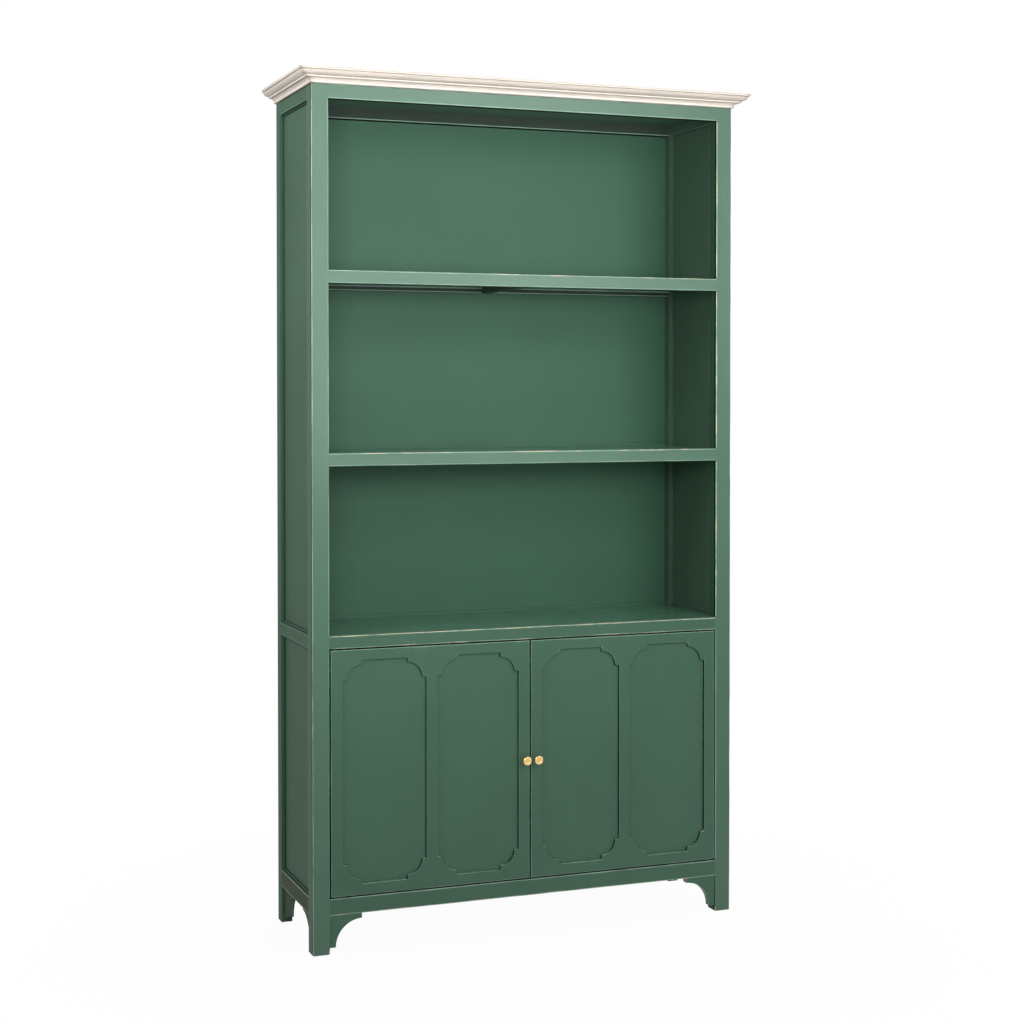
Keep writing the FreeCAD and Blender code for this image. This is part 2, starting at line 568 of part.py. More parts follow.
# ---------------------------------------------------------------------------- crown
def crown_profile():
    """Return the edges of the crown's section.

    Seen with its outermost face at the origin and its inside towards -Y, it
    has, from the top, a flat band, a step in, a convex quarter round, a flat,
    a step in, a concave quarter round and a foot with a rounded lower arris.
    """
    def at(inward, up):
        return FreeCAD.Vector(0, -inward, up)

    band_low = CROWN_HEIGHT - CROWN_BAND_HEIGHT
    flat_in = CROWN_BAND_STEP + CROWN_OVOLO_WIDTH
    flat_high = band_low - CROWN_OVOLO_HEIGHT
    flat_low = flat_high - CROWN_FLAT_HEIGHT
    cove_in = flat_in + CROWN_FLAT_STEP
    foot_in = cove_in + CROWN_COVE_RADIUS
    foot_high = flat_low - CROWN_COVE_RADIUS
    slant = math.sqrt(0.5)
    ovolo_middle = at(flat_in - slant * CROWN_OVOLO_WIDTH, band_low - slant * CROWN_OVOLO_HEIGHT)
    cove_middle = at(cove_in + slant * CROWN_COVE_RADIUS, foot_high + slant * CROWN_COVE_RADIUS)
    round_middle = at(foot_in + (1 - slant) * CROWN_FOOT_ROUND, (1 - slant) * CROWN_FOOT_ROUND)
    return [
        Part.makeLine(at(CROWN_WIDTH, CROWN_HEIGHT), at(0, CROWN_HEIGHT)),
        Part.makeLine(at(0, CROWN_HEIGHT), at(0, band_low)),
        Part.makeLine(at(0, band_low), at(CROWN_BAND_STEP, band_low)),
        Part.Arc(at(CROWN_BAND_STEP, band_low), ovolo_middle, at(flat_in, flat_high)).toShape(),
        Part.makeLine(at(flat_in, flat_high), at(flat_in, flat_low)),
        Part.makeLine(at(flat_in, flat_low), at(cove_in, flat_low)),
        Part.Arc(at(cove_in, flat_low), cove_middle, at(foot_in, foot_high)).toShape(),
        Part.makeLine(at(foot_in, foot_high), at(foot_in, CROWN_FOOT_ROUND)),
        Part.Arc(at(foot_in, CROWN_FOOT_ROUND), round_middle, at(foot_in + CROWN_FOOT_ROUND, 0)).toShape(),
        Part.makeLine(at(foot_in + CROWN_FOOT_ROUND, 0), at(CROWN_WIDTH, 0)),
        Part.makeLine(at(CROWN_WIDTH, 0), at(CROWN_WIDTH, CROWN_HEIGHT)),
    ]


def crown_bar(corner, turn, length):
    """Return a straight bar of crown from an outer corner, turned about Z in degrees."""
    bar = Part.Face(Part.Wire(crown_profile())).extrude(FreeCAD.Vector(length, 0, 0))
    bar.Placement = FreeCAD.Placement(corner, FreeCAD.Rotation(UP, turn))
    return bar


def make_crown():
    """Write the mitred crown, its plain back member and the panel let into it."""
    out_x = HALF_WIDTH + CROWN_SIDE_OVERHANG
    in_x = out_x - CROWN_WIDTH
    out_y = FRONT - CROWN_FRONT_OVERHANG
    in_y = out_y + CROWN_WIDTH
    end_y = BACK + CROWN_BACK_OVERHANG
    back_in_y = end_y - CROWN_BACK_WIDTH
    z_span = (POST_TOP, OVERALL_HEIGHT)
    panel_x = (-in_x - TOP_PANEL_LAP, in_x + TOP_PANEL_LAP)
    panel_y = (in_y - TOP_PANEL_LAP, back_in_y + TOP_PANEL_LAP)
    panel_z = (OVERALL_HEIGHT - TOP_PANEL_THICKNESS, OVERALL_HEIGHT)
    recess = block(widened(panel_x, BOARD_CLEARANCE), widened(panel_y, BOARD_CLEARANCE), panel_z)

    front_bar = crown_bar(FreeCAD.Vector(out_x, out_y, POST_TOP), 180, 2 * out_x)
    front_plan = [(-out_x, out_y), (out_x, out_y), (in_x, in_y), (-in_x, in_y)]
    save("front_crown", without(front_bar.common(plan_prism(front_plan, z_span)), [recess]))
    side_bar = crown_bar(FreeCAD.Vector(out_x, end_y, POST_TOP), -90, end_y - out_y)
    side_plan = [(out_x, out_y), (out_x, end_y), (in_x, end_y), (in_x, in_y)]
    save_pair("crown", without(side_bar.common(plan_prism(side_plan, z_span)), [recess]))
    save("back_crown", without(block((-in_x, in_x), (back_in_y, end_y), z_span), [recess]))
    save("top_panel", block(panel_x, panel_y, panel_z))


# -------------------------------------------------------------------------- brackets
def bracket(corner, along, through):
    """Return a corner bracket with a concave quarter round.

    It starts at the inner corner of a post and a rail, runs along the rail one
    way and through its thickness another way, and hangs down.
    """
    def at(off, drop):
        return corner + along * off - UP * drop

    width = BRACKET_LEG + BRACKET_RADIUS
    height = BRACKET_ARM + BRACKET_RADIUS
    slant = BRACKET_RADIUS * math.sqrt(0.5)
    arc_middle = at(width - slant, height - slant)
    edges = [
        Part.makeLine(at(0, 0), at(width, 0)),
        Part.makeLine(at(width, 0), at(width, BRACKET_ARM)),
        Part.Arc(at(width, BRACKET_ARM), arc_middle, at(BRACKET_LEG, height)).toShape(),
        Part.makeLine(at(BRACKET_LEG, height), at(0, height)),
        Part.makeLine(at(0, height), at(0, 0)),
    ]
    return prism(edges, BRACKET_THICKNESS, through)


def make_brackets():
    """Write the corner brackets under the front and side rails."""
    front_corner = FreeCAD.Vector(FRONT_POST_INNER, FRONT + FRONT_BRACKET_SETBACK, BOTTOM_RAIL_CLEARANCE)
    save_pair("front_bracket", bracket(front_corner, INWARD, REARWARD))
    side_x = HALF_WIDTH - SIDE_BRACKET_SETBACK
    at_front = FreeCAD.Vector(side_x, FRONT_POST_BACK, BOTTOM_RAIL_CLEARANCE)
    at_back = FreeCAD.Vector(side_x, BACK_POST_FRONT, BOTTOM_RAIL_CLEARANCE)
    save_pair("side_brackets", [bracket(at_front, REARWARD, INWARD), bracket(at_back, FORWARD, INWARD)])


# ----------------------------------------------------------------------------- doors
def field_corner(side_x, side_z, half_x, half_z):
    """Return the path round one corner of a sunk field, from its end to its side.

    The five points, from the field's middle, make a step in, a quarter round
    that bulges towards the corner and a step out.
    """
    arc_x = half_x - FIELD_STEP - FIELD_RADIUS
    arc_z = half_z - FIELD_STEP - FIELD_RADIUS
    slant = FIELD_RADIUS * math.sqrt(0.5)
    places = [(arc_x, half_z), (arc_x, half_z - FIELD_STEP), (arc_x + slant, arc_z + slant),
              (half_x - FIELD_STEP, arc_z), (half_x, arc_z)]
    return [FreeCAD.Vector(side_x * x, 0, side_z * z) for x, z in places]


def sunk_field(x_span, z_span):
    """Return the cut for one sunk field: a rectangle with stepped round corners."""
    half_x = (x_span[1] - x_span[0]) / 2
    half_z = (z_span[1] - z_span[0]) / 2
    middle = FreeCAD.Vector((x_span[0] + x_span[1]) / 2, FRONT, (z_span[0] + z_span[1]) / 2)
    corners = [field_corner(1, 1, half_x, half_z), field_corner(1, -1, half_x, half_z)[::-1],
               field_corner(-1, -1, half_x, half_z), field_corner(-1, 1, half_x, half_z)[::-1]]
    edges = []
    for number, corner in enumerate(corners):
        start, arc_start, arc_middle, arc_end, end = [middle + point for point in corner]
        following = middle + corners[(number + 1) % len(corners)][0]
        edges += [Part.makeLine(start, arc_start), Part.Arc(arc_start, arc_middle, arc_end).toShape(),
                  Part.makeLine(arc_end, end), Part.makeLine(end, following)]
    return prism(edges, DOOR_FACE_THICKNESS, REARWARD)


def door_cuts():
    """Return the recesses and screw holes that the hardware needs in the right door."""
    cuts = []
    for door_z, _, outward in PIVOT_LEVELS:
        cuts.append(plate(door_z, -outward, TENON_CLEARANCE))
        cuts += plate_screws(door_z, -outward, SCREW_CLEARANCE)
    knob_hole = rod(FreeCAD.Vector(KNOB_X, FRONT, KNOB_Z), REARWARD,
                    KNOB_SCREW_RADIUS + SCREW_CLEARANCE, DOOR_THICKNESS)
    return cuts + [knob_hole, strike_screw(SCREW_CLEARANCE)]


def make_doors():
    """Write each door as a board and the pierced face glued to its front."""
    x_span = (DOOR_INNER, DOOR_OUTER)
    z_span = (DOOR_BOTTOM, DOOR_TOP)
    cuts = door_cuts()
    board = block(x_span, (DOOR_FACE_BACK, DOOR_BACK), z_span)
    board = eased(board, [{"x": x, "y": DOOR_BACK} for x in x_span])
    save_pair("door_board", without(board, cuts))

    face = block(x_span, (FRONT, DOOR_FACE_BACK), z_span)
    face = eased(face, [{"x": x, "y": FRONT} for x in x_span] + [{"z": z, "y": FRONT} for z in z_span])
    pitch = (x_span[1] - x_span[0] - DOOR_STILE) / FIELDS_PER_DOOR
    starts = [x_span[0] + DOOR_STILE + number * pitch for number in range(FIELDS_PER_DOOR)]
    field_z = widened(z_span, -DOOR_MARGIN)
    fields = [sunk_field((start, start + pitch - DOOR_STILE), field_z) for start in starts]
    save_pair("door_face", without(face, cuts + fields))


def knob():
    """Return the right door's knob, turned, with a sunk disc in its head."""
    bore = KNOB_SCREW_RADIUS + SCREW_CLEARANCE
    bore_end = KNOB_SCREW_GRIP + SCREW_CLEARANCE
    head_back = KNOB_PROJECTION - KNOB_HEAD
    profile = [(bore, 0), (KNOB_NECK_RADIUS, 0),
               (KNOB_NECK_RADIUS, head_back - KNOB_BEVEL), (KNOB_RADIUS - KNOB_BEVEL, head_back),
               (KNOB_RADIUS, head_back + KNOB_BEVEL), (KNOB_RADIUS, KNOB_PROJECTION - KNOB_BEVEL),
               (KNOB_RADIUS - KNOB_BEVEL, KNOB_PROJECTION), (KNOB_DISC_RADIUS, KNOB_PROJECTION),
               (KNOB_DISC_RADIUS, KNOB_PROJECTION - KNOB_DISC_SINK),
               (0, KNOB_PROJECTION - KNOB_DISC_SINK), (0, bore_end), (bore, bore_end)]
    return turned(profile, FreeCAD.Vector(KNOB_X, FRONT, KNOB_Z), FORWARD)


def knob_screw():
    """Return the machine screw that holds the knob from behind the door."""
    seat = FreeCAD.Vector(KNOB_X, DOOR_BACK, KNOB_Z)
    head = rod(seat, REARWARD, KNOB_SCREW_HEAD_RADIUS, KNOB_SCREW_HEAD_HEIGHT)
    shank = rod(seat, FORWARD, KNOB_SCREW_RADIUS, DOOR_THICKNESS + KNOB_SCREW_GRIP)
    return head.fuse(shank).removeSplitter()


# ------------------------------------------------------------------- catch and strikes
STRIKE_X_SPAN = (DOOR_INNER + STRIKE_EDGE_DISTANCE, DOOR_INNER + STRIKE_EDGE_DISTANCE + STRIKE_WIDTH)
CATCH_FRONT = DOOR_BACK + STRIKE_THICKNESS + SEAT_GAP
CATCH_BOTTOM = DECK_RAIL_BOTTOM - CATCH_HEIGHT
STRIKE_Z = (CATCH_BOTTOM + DOOR_TOP) / 2


def strike_screw(clearance=0.0):
    """Return the screw of the right door's strike plate, or its hole."""
    middle = (STRIKE_X_SPAN[0] + STRIKE_X_SPAN[1]) / 2
    return countersink(FreeCAD.Vector(middle, DOOR_BACK + STRIKE_THICKNESS, STRIKE_Z), FORWARD, clearance)


def catch_screws(clearance=0.0):
    """Return the two screws that hold the catch under the deck's batten."""
    spots = (-CATCH_SCREW_SPACING / 2, CATCH_SCREW_SPACING / 2)
    middle = CATCH_FRONT + CATCH_DEPTH / 2
    length = CATCH_HEIGHT + CATCH_SCREW_GRIP
    return [countersink(FreeCAD.Vector(x, middle, CATCH_BOTTOM), UP, clearance, length) for x in spots]


def make_hardware():
    """Write the pivots, knobs, catch, strike plates and screws."""
    save_pair("door_pivots", door_pivots())
    save("frame_pivot_plates", both_sides(frame_plates()))
    save_pair("knob", knob())

    y_span = (DOOR_BACK, DOOR_BACK + STRIKE_THICKNESS)
    z_span = (STRIKE_Z - STRIKE_HEIGHT / 2, STRIKE_Z + STRIKE_HEIGHT / 2)
    strike = without(block(STRIKE_X_SPAN, y_span, z_span), [strike_screw(SCREW_CLEARANCE)])
    save_pair("strike_plate", strike)

    catch = block((-CATCH_LENGTH / 2, CATCH_LENGTH / 2), (CATCH_FRONT, CATCH_FRONT + CATCH_DEPTH),
                  (CATCH_BOTTOM, DECK_RAIL_BOTTOM))
    save("double_catch", without(catch, catch_screws(SCREW_CLEARANCE)))

    door_screws = [knob_screw(), strike_screw()]
    frame_screws = []
    for door_z, frame_z, outward in PIVOT_LEVELS:
        door_screws += plate_screws(door_z, -outward)
        frame_screws += plate_screws(frame_z, outward)
    save_pair("door_screws", door_screws)
    save("frame_screws", both_sides(frame_screws) + catch_screws())


os.makedirs("parts", exist_ok=True)
make_posts()
make_front_rails()
make_back_rails()
make_side_rails()
make_boards()
make_inner_shelf()
make_panels()
make_crown()
make_brackets()
make_doors()
make_hardware()
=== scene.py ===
"""Looks of a painted bookcase with cupboard doors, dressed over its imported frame.

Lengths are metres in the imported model's own frame: X runs to the right across the
front, Y from the front to the back and Z up from the floor.  Sizes that follow from
the frame are read from it, and the small sizes of the dressing are named below.
"""

import json
import logging
import math
from dataclasses import dataclass, field
from enum import Enum
from itertools import product
from typing import Union

import bmesh
import bpy
import numpy as np
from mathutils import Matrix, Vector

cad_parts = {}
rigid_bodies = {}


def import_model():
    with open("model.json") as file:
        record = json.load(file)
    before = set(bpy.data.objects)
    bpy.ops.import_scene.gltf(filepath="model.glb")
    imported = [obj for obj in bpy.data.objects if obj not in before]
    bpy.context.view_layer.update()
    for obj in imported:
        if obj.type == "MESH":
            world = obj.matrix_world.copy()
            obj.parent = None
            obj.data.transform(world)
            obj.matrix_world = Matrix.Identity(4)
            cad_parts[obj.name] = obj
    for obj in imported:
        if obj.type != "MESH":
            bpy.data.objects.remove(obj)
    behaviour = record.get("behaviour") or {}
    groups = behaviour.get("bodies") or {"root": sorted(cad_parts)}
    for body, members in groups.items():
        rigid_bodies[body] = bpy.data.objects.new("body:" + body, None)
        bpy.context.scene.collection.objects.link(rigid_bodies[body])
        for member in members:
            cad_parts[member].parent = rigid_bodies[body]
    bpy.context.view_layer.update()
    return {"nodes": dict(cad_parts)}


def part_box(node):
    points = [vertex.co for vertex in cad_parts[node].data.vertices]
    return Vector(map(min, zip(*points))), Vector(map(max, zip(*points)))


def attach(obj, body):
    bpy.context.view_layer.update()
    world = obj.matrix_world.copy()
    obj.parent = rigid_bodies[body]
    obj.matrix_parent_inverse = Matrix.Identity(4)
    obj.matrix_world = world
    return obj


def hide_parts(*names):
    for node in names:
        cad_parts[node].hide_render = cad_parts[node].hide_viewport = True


for leftover in list(bpy.data.objects):
    bpy.data.objects.remove(leftover)
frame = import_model()

LOG = logging.getLogger("bookcase")
MM = 0.001
SMOOTH_BELOW = math.radians(33)     # edges that turn by less are shaded smooth
HAIRLINE = 0.1 * MM                 # drawn back from a joint so that it shows
WELD = 0.002 * MM                   # points nearer than this are one
ARRIS_STEPS = 5                     # points across a rounded arris

Array = np.ndarray
Colour = tuple[float, float, float, float]
Span = tuple[float, float]
Point = tuple[float, float, float]

SIDE_RAILS = ("top_rail", "middle_rail", "bottom_rail")


class Slot(Enum):
    """The record's material slots, passed along with new pieces."""

    SAGE = "sage_paint"
    CREAM = "cream_paint"
    BRASS = "brass"


class Side(Enum):
    """The two mirrored halves, with the sign of their X."""

    LEFT = -1
    RIGHT = 1

    def name_of(self, node: str) -> str:
        """Return the name of this side's node."""
        return self.name.lower() + "_" + node

    @property
    def door(self) -> str:
        """Return the name of this side's door body."""
        return self.name_of("door")


class Grain(Enum):
    """The axis that the brush strokes and the grain run along."""

    X = 0
    Y = 1
    Z = 2

    def stretched(self, along: float, across: float) -> Point:
        """Return pattern scales that are small along the grain and large across it."""
        return tuple(along if axis == self.value else across for axis in range(3))


def span(node: str, axis: str) -> Span:
    """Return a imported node's low and high place along the axis x, y or z."""
    low, high = (getattr(corner, axis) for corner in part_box(node))
    return low, high


def placed(name: str, data: bpy.types.ID) -> bpy.types.Object:
    """Return a new object with this data, linked to the scene.

    Args:
        name: the object's name.
        data: its mesh, lamp or camera.

    Returns:
        The object.
    """
    made = bpy.data.objects.new(name, data)
    bpy.context.scene.collection.objects.link(made)
    return made


# ------------------------------------------------------------------ shader language
def srgb(red: float, green: float, blue: float) -> Colour:
    """Turn display values from 0 to 255 into a linear colour.

    Args:
        red, green, blue: the display values.

    Returns:
        The linear colour with an alpha of one.
    """
    shares = np.array([red, green, blue]) / 255
    linear = np.where(shares <= 0.04045, shares / 12.92, ((shares + 0.055) / 1.055) ** 2.4)
    return (*linear.tolist(), 1.0)


def toned(colour: Colour, factor: float) -> Colour:
    """Return a linear colour made lighter or darker by a factor."""
    return (*(min(1.0, part * factor) for part in colour[:3]), 1.0)


class Num:
    """A number that varies over a surface: one output socket that takes operators."""

    def __init__(self, graph: "Graph", socket: bpy.types.NodeSocket) -> None:
        """Wrap an output socket of a graph."""
        self.graph = graph
        self.socket = socket

    def maths(self, operation: str, first: "Value", second: "Value" = 0.0) -> "Num":
        """Add a Math node.

        Args:
            operation: the node's operation.
            first, second: its two values, as numbers or as varying values.

        Returns:
            The node's result.
        """
        node = self.graph.node("ShaderNodeMath", {"operation": operation}, {0: first, 1: second})
        return Num(self.graph, node.outputs[0])

    def __add__(self, other: "Value") -> "Num":
        """Return the sum."""
        return self.maths("ADD", self, other)

    __radd__ = __add__

    def __mul__(self, other: "Value") -> "Num":
        """Return the product."""
        return self.maths("MULTIPLY", self, other)

    __rmul__ = __mul__

    def __sub__(self, other: "Value") -> "Num":
        """Return this value less another."""
        return self.maths("SUBTRACT", self, other)

    def __rsub__(self, other: "Value") -> "Num":
        """Return another value less this one."""
        return self.maths("SUBTRACT", other, self)

    def least(self, other: "Value") -> "Num":
        """Return the smaller of two values."""
        return self.maths("MINIMUM", self, other)

    def most(self, other: "Value") -> "Num":
        """Return the larger of two values."""
        return self.maths("MAXIMUM", self, other)

    def root(self) -> "Num":
        """Return the square root."""
        return self.maths("SQRT", self)

    def rise(self, low: float, high: float) -> "Num":
        """Return a smooth step from 0 at low to 1 at high.

        Args:
            low, high: the values where the step starts and ends.

        Returns:
            The step's value.
        """
        node = self.graph.node("ShaderNodeMapRange", {"interpolation_type": "SMOOTHSTEP"},
                               {"Value": self, "From Min": low, "From Max": high})
        return Num(self.graph, node.outputs[0])


Value = Union[float, Num]


class Graph:
    """The node tree of one material or of the world."""

    def __init__(self, tree: bpy.types.NodeTree) -> None:
        """Clear a node tree and take it over."""
        self.tree = tree
        self.tree.nodes.clear()

    def node(self, kind: str, settings: dict, inputs: dict) -> bpy.types.Node:
        """Add a node, its settings first and then its sockets.

        Args:
            kind: the node's type.
            settings: attribute names and their values.
            inputs: socket names or numbers, with a value or a link for each.

        Returns:
            The new node.
        """
        made = self.tree.nodes.new(kind)
        for key, value in settings.items():
            setattr(made, key, value)
        for key, value in inputs.items():
            source = value.socket if isinstance(value, Num) else value
            if isinstance(source, bpy.types.NodeSocket):
                self.tree.links.new(source, made.inputs[key])
            else:
                made.inputs[key].default_value = source
        return made

    @property
    def place(self) -> bpy.types.NodeSocket:
        """Return the point on the piece, in object coordinates."""
        return self.node("ShaderNodeTexCoord", {}, {}).outputs["Object"]

    def axes(self, place: bpy.types.NodeSocket) -> list[Num]:
        """Return the three parts of a point."""
        parts = self.node("ShaderNodeSeparateXYZ", {}, {0: place})
        return [Num(self, socket) for socket in parts.outputs]

    def noise(self, scale: float, detail: float = 2.0, stretch: Point = (1.0, 1.0, 1.0)) -> Num:
        """Return a cloudy value near one half.

        Args:
            scale: features in a metre.
            detail: octaves of finer noise.
            stretch: more features along some axes.

        Returns:
            The value, from 0 to 1.
        """
        place = self.node("ShaderNodeMapping", {}, {"Vector": self.place, "Scale": stretch})
        made = self.node("ShaderNodeTexNoise", {}, {"Vector": place.outputs[0], "Scale": scale,
                                                    "Detail": detail})
        return Num(self, made.outputs[0])

    def painted(self, name: str) -> Num:
        """Return a value that the piece's points carry, or 0 where they carry none."""
        node = self.node("ShaderNodeAttribute", {"attribute_name": name}, {})
        return Num(self, node.outputs["Fac"])

    def blend(self, factor: Value, first: object, second: object) -> bpy.types.NodeSocket:
        """Mix two colours.

        Args:
            factor: 0 for the first colour and 1 for the second.
            first, second: colours or colour sockets.

        Returns:
            The mixed colour's socket.
        """
        node = self.node("ShaderNodeMix", {"data_type": "RGBA"}, {0: factor, 6: first, 7: second})
        return node.outputs[2]

    def bump(self, height: Num, depth: float) -> bpy.types.NodeSocket:
        """Return a normal that a height from 0 to 1 tilts, for a depth in metres."""
        node = self.node("ShaderNodeBump", {}, {"Height": height, "Distance": depth})
        return node.outputs[0]

    def show(self, shader: bpy.types.Node) -> None:
        """Make a shader the surface of the material."""
        self.node("ShaderNodeOutputMaterial", {}, {"Surface": shader.outputs[0]})

    def show_principled(self, sockets: dict) -> None:
        """Make a Principled shader with these sockets the surface of the material."""
        self.show(self.node("ShaderNodeBsdfPrincipled", {}, sockets))


def surface_material(name: str) -> tuple[bpy.types.Material, Graph]:
    """Return a new empty material and its graph.

    Args:
        name: the material's name.

    Returns:
        The material and the graph of its nodes.
    """
    material = bpy.data.materials.new(name)
    material.use_nodes = True
    return material, Graph(material.node_tree)


# ------------------------------------------------------------------------- finishes
class Edges:
    """Where a piece is worn and carries painted highlights, and where it is grimy and carries painted shade:
    the values that its points carry.
    """

    def closeness(self, graph: Graph) -> Num:
        """Return 1 on a worn arris and on a painted highlight line, falling to 0 away from it."""
        return graph.painted("rub")

    def soiling(self, graph: Graph) -> Num:
        """Return 1 where grime has gathered and where shade is painted dark."""
        return graph.painted("soil")


@dataclass(frozen=True)
class BoxEdges(Edges):
    """Closeness to the arrises of a box-shaped piece that carries no values.

    On a face of a box the distance to one pair of faces is nil, so the middle one
    of the three distances is the way to the nearest arris.
    """

    node: str
    reach: float = 3.5 * MM
    strength: float = 0.9
    # depth of a painted shadow band under the piece above, such as the crown
    shadow_under_cover: float = 0.0
    covered: float = 0.0
    # depth of painted shade on the underside
    shade_underneath: float = 0.0

    def closeness(self, graph: Graph) -> Num:
        """Return 1 on an arris, falling to 0 at the reach.

        Args:
            graph: the material's graph.

        Returns:
            The closeness, times the strength.
        """
        low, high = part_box(self.node)
        gaps = [(axis - low[i]).least(high[i] - axis) for i, axis in enumerate(graph.axes(graph.place))]
        smaller = gaps[0].least(gaps[1])
        larger = gaps[0].most(gaps[1])
        middle = smaller.most(larger.least(gaps[2]))
        return (1 - middle.rise(0.0, self.reach)) * self.strength

    def soiling(self, graph: Graph) -> Num:
        """Return 1 in a painted shadow at the top, below what covers it, or painted shade on the underside,
        falling to 0 at its depth.

        Args:
            graph: the material's graph.

        Returns:
            The grime and painted shade.
        """
        low, high = span(self.node, "z")
        height = graph.axes(graph.place)[2]
        dirt_and_shade = graph.painted("soil")
        if self.shadow_under_cover:
            dirt_and_shade = dirt_and_shade.most(1 - (high - self.covered - height).rise(0.0, self.shadow_under_cover))
        if self.shade_underneath:
            dirt_and_shade = dirt_and_shade.most(1 - (height - low).rise(0.0, self.shade_underneath))
        return dirt_and_shade


@dataclass(frozen=True)
class GapShadedRims(Edges):
    """A board whose narrow edges in X and Z are painted dark as shade in the gaps round the door."""

    node: str
    reach: float = 0.4 * MM

    def soiling(self, graph: Graph) -> Num:
        """Return 1 on the narrow edges, falling to 0 at the reach.

        Args:
            graph: the material's graph.

        Returns:
            The soiling.
        """
        low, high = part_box(self.node)
        x, _, z = graph.axes(graph.place)
        across = (x - low.x).least(high.x - x)
        upright = (z - low.z).least(high.z - z)
        return 1 - across.least(upright).rise(0.0, self.reach)


@dataclass(frozen=True)
class Paint:
    """Sprayed paint over primer and wood, rubbed pale or through at the arrises, with painted highlight
    lines along them and near-black painted shade in gaps and recesses.
    """

    body: Colour = srgb(66, 104, 83)
    # pale thinned paint, which also serves as a painted highlight along the arrises
    thin_paint_and_highlight: Colour = srgb(150, 182, 166)
    primer: Colour = srgb(216, 198, 170)
    wood: Colour = srgb(160, 96, 64)
    # near black: grime, and also painted shade in gaps, undersides and recesses
    soil: Colour = srgb(12, 9, 6)
    dust: Colour = srgb(102, 100, 84)
    roughness: float = 0.6
    gloss: float = 0.08
    coat: float = 0.9
    coat_ior: float = 1.5
    coat_roughness: float = 0.36
    mottle: float = 0.16
    peel: float = 0.10 * MM
    cloud_scale: float = 4.0
    speck_scale: float = 620.0
    blotch_scale: float = 30.0
    grit_scale: float = 260.0
    strokes: tuple[float, float] = (7.0, 240.0)
    thin_and_highlight_at: Span = (0.25, 0.8)
    bare_at: Span = (0.98, 1.08)
    wood_at: Span = (1.22, 1.4)
    soil_and_shade_at: Span = (0.2, 0.85)

    def material(self, name: str, grain: Grain, edges: Edges) -> bpy.types.Material:
        """Build the finish for pieces of one grain.

        The tone drifts with a cloudy, a brushed and a speckled noise.  Closeness to
        an arris times a blotchy noise gives how far the rubbing has gone: first the
        paint thins, then the primer shows, then the wood.  The pale colour of thinned
        paint is also a painted highlight along the arrises, and the near-black colour is
        grime and also painted shade in gaps, under rails and on the walls of sunk fields.
        Dull faces carry dust and lose the varnish that gives the others their sheen.

        Args:
            name: the material's name.
            grain: the axis of the brush strokes.
            edges: where the arrises are.

        Returns:
            The material.
        """
        material, graph = surface_material(name)
        cloud = graph.noise(self.cloud_scale, 3.0)
        speck = graph.noise(self.speck_scale)
        brush = graph.noise(1.0, 3.0, grain.stretched(*self.strokes))
        tone = 0.5 + (cloud - 0.5) * 0.8 + (speck - 0.5) * 0.7 + (brush - 0.5) * 0.5
        colour = graph.blend(tone, toned(self.body, 1 - self.mottle), toned(self.body, 1 + self.mottle))
        blotch = graph.noise(self.blotch_scale, 4.0)
        grit = graph.noise(self.grit_scale)
        dull = graph.painted("dull")
        colour = graph.blend(dull * dull * (0.45 + cloud * 0.6), colour, self.dust)
        rubbed = edges.closeness(graph) * (1 + (blotch - 0.5) * 0.7 + (grit - 0.5) * 0.3)
        bare = rubbed.rise(*self.bare_at)
        # the pale stage paints highlight lines on the arrises as well as thinned paint
        colour = graph.blend(rubbed.rise(*self.thin_and_highlight_at) * 0.75, colour, self.thin_paint_and_highlight)
        colour = graph.blend(bare * 0.9, colour, self.primer)
        colour = graph.blend(rubbed.rise(*self.wood_at) * 0.85, colour, self.wood)
        # grime and painted shade: near black in gaps, under rails and on the sunk walls
        soiled = edges.soiling(graph) * (0.75 + grit * 0.5)
        colour = graph.blend(soiled.rise(*self.soil_and_shade_at) * 0.95, colour, self.soil)
        rough = self.roughness + (speck - 0.5) * 0.16 + bare * 0.18
        height = speck * 0.6 + brush * 0.4 - bare * 0.7
        varnish = (1 - dull.rise(0.0, 0.5)) * (1 - soiled.rise(0.2, 0.6)) * self.coat
        graph.show_principled({
            "Base Color": colour, "Roughness": rough, "Specular IOR Level": self.gloss,
            "Coat Weight": varnish, "Coat Roughness": self.coat_roughness, "Coat IOR": self.coat_ior,
            "Normal": graph.bump(height, self.peel)})
        return material


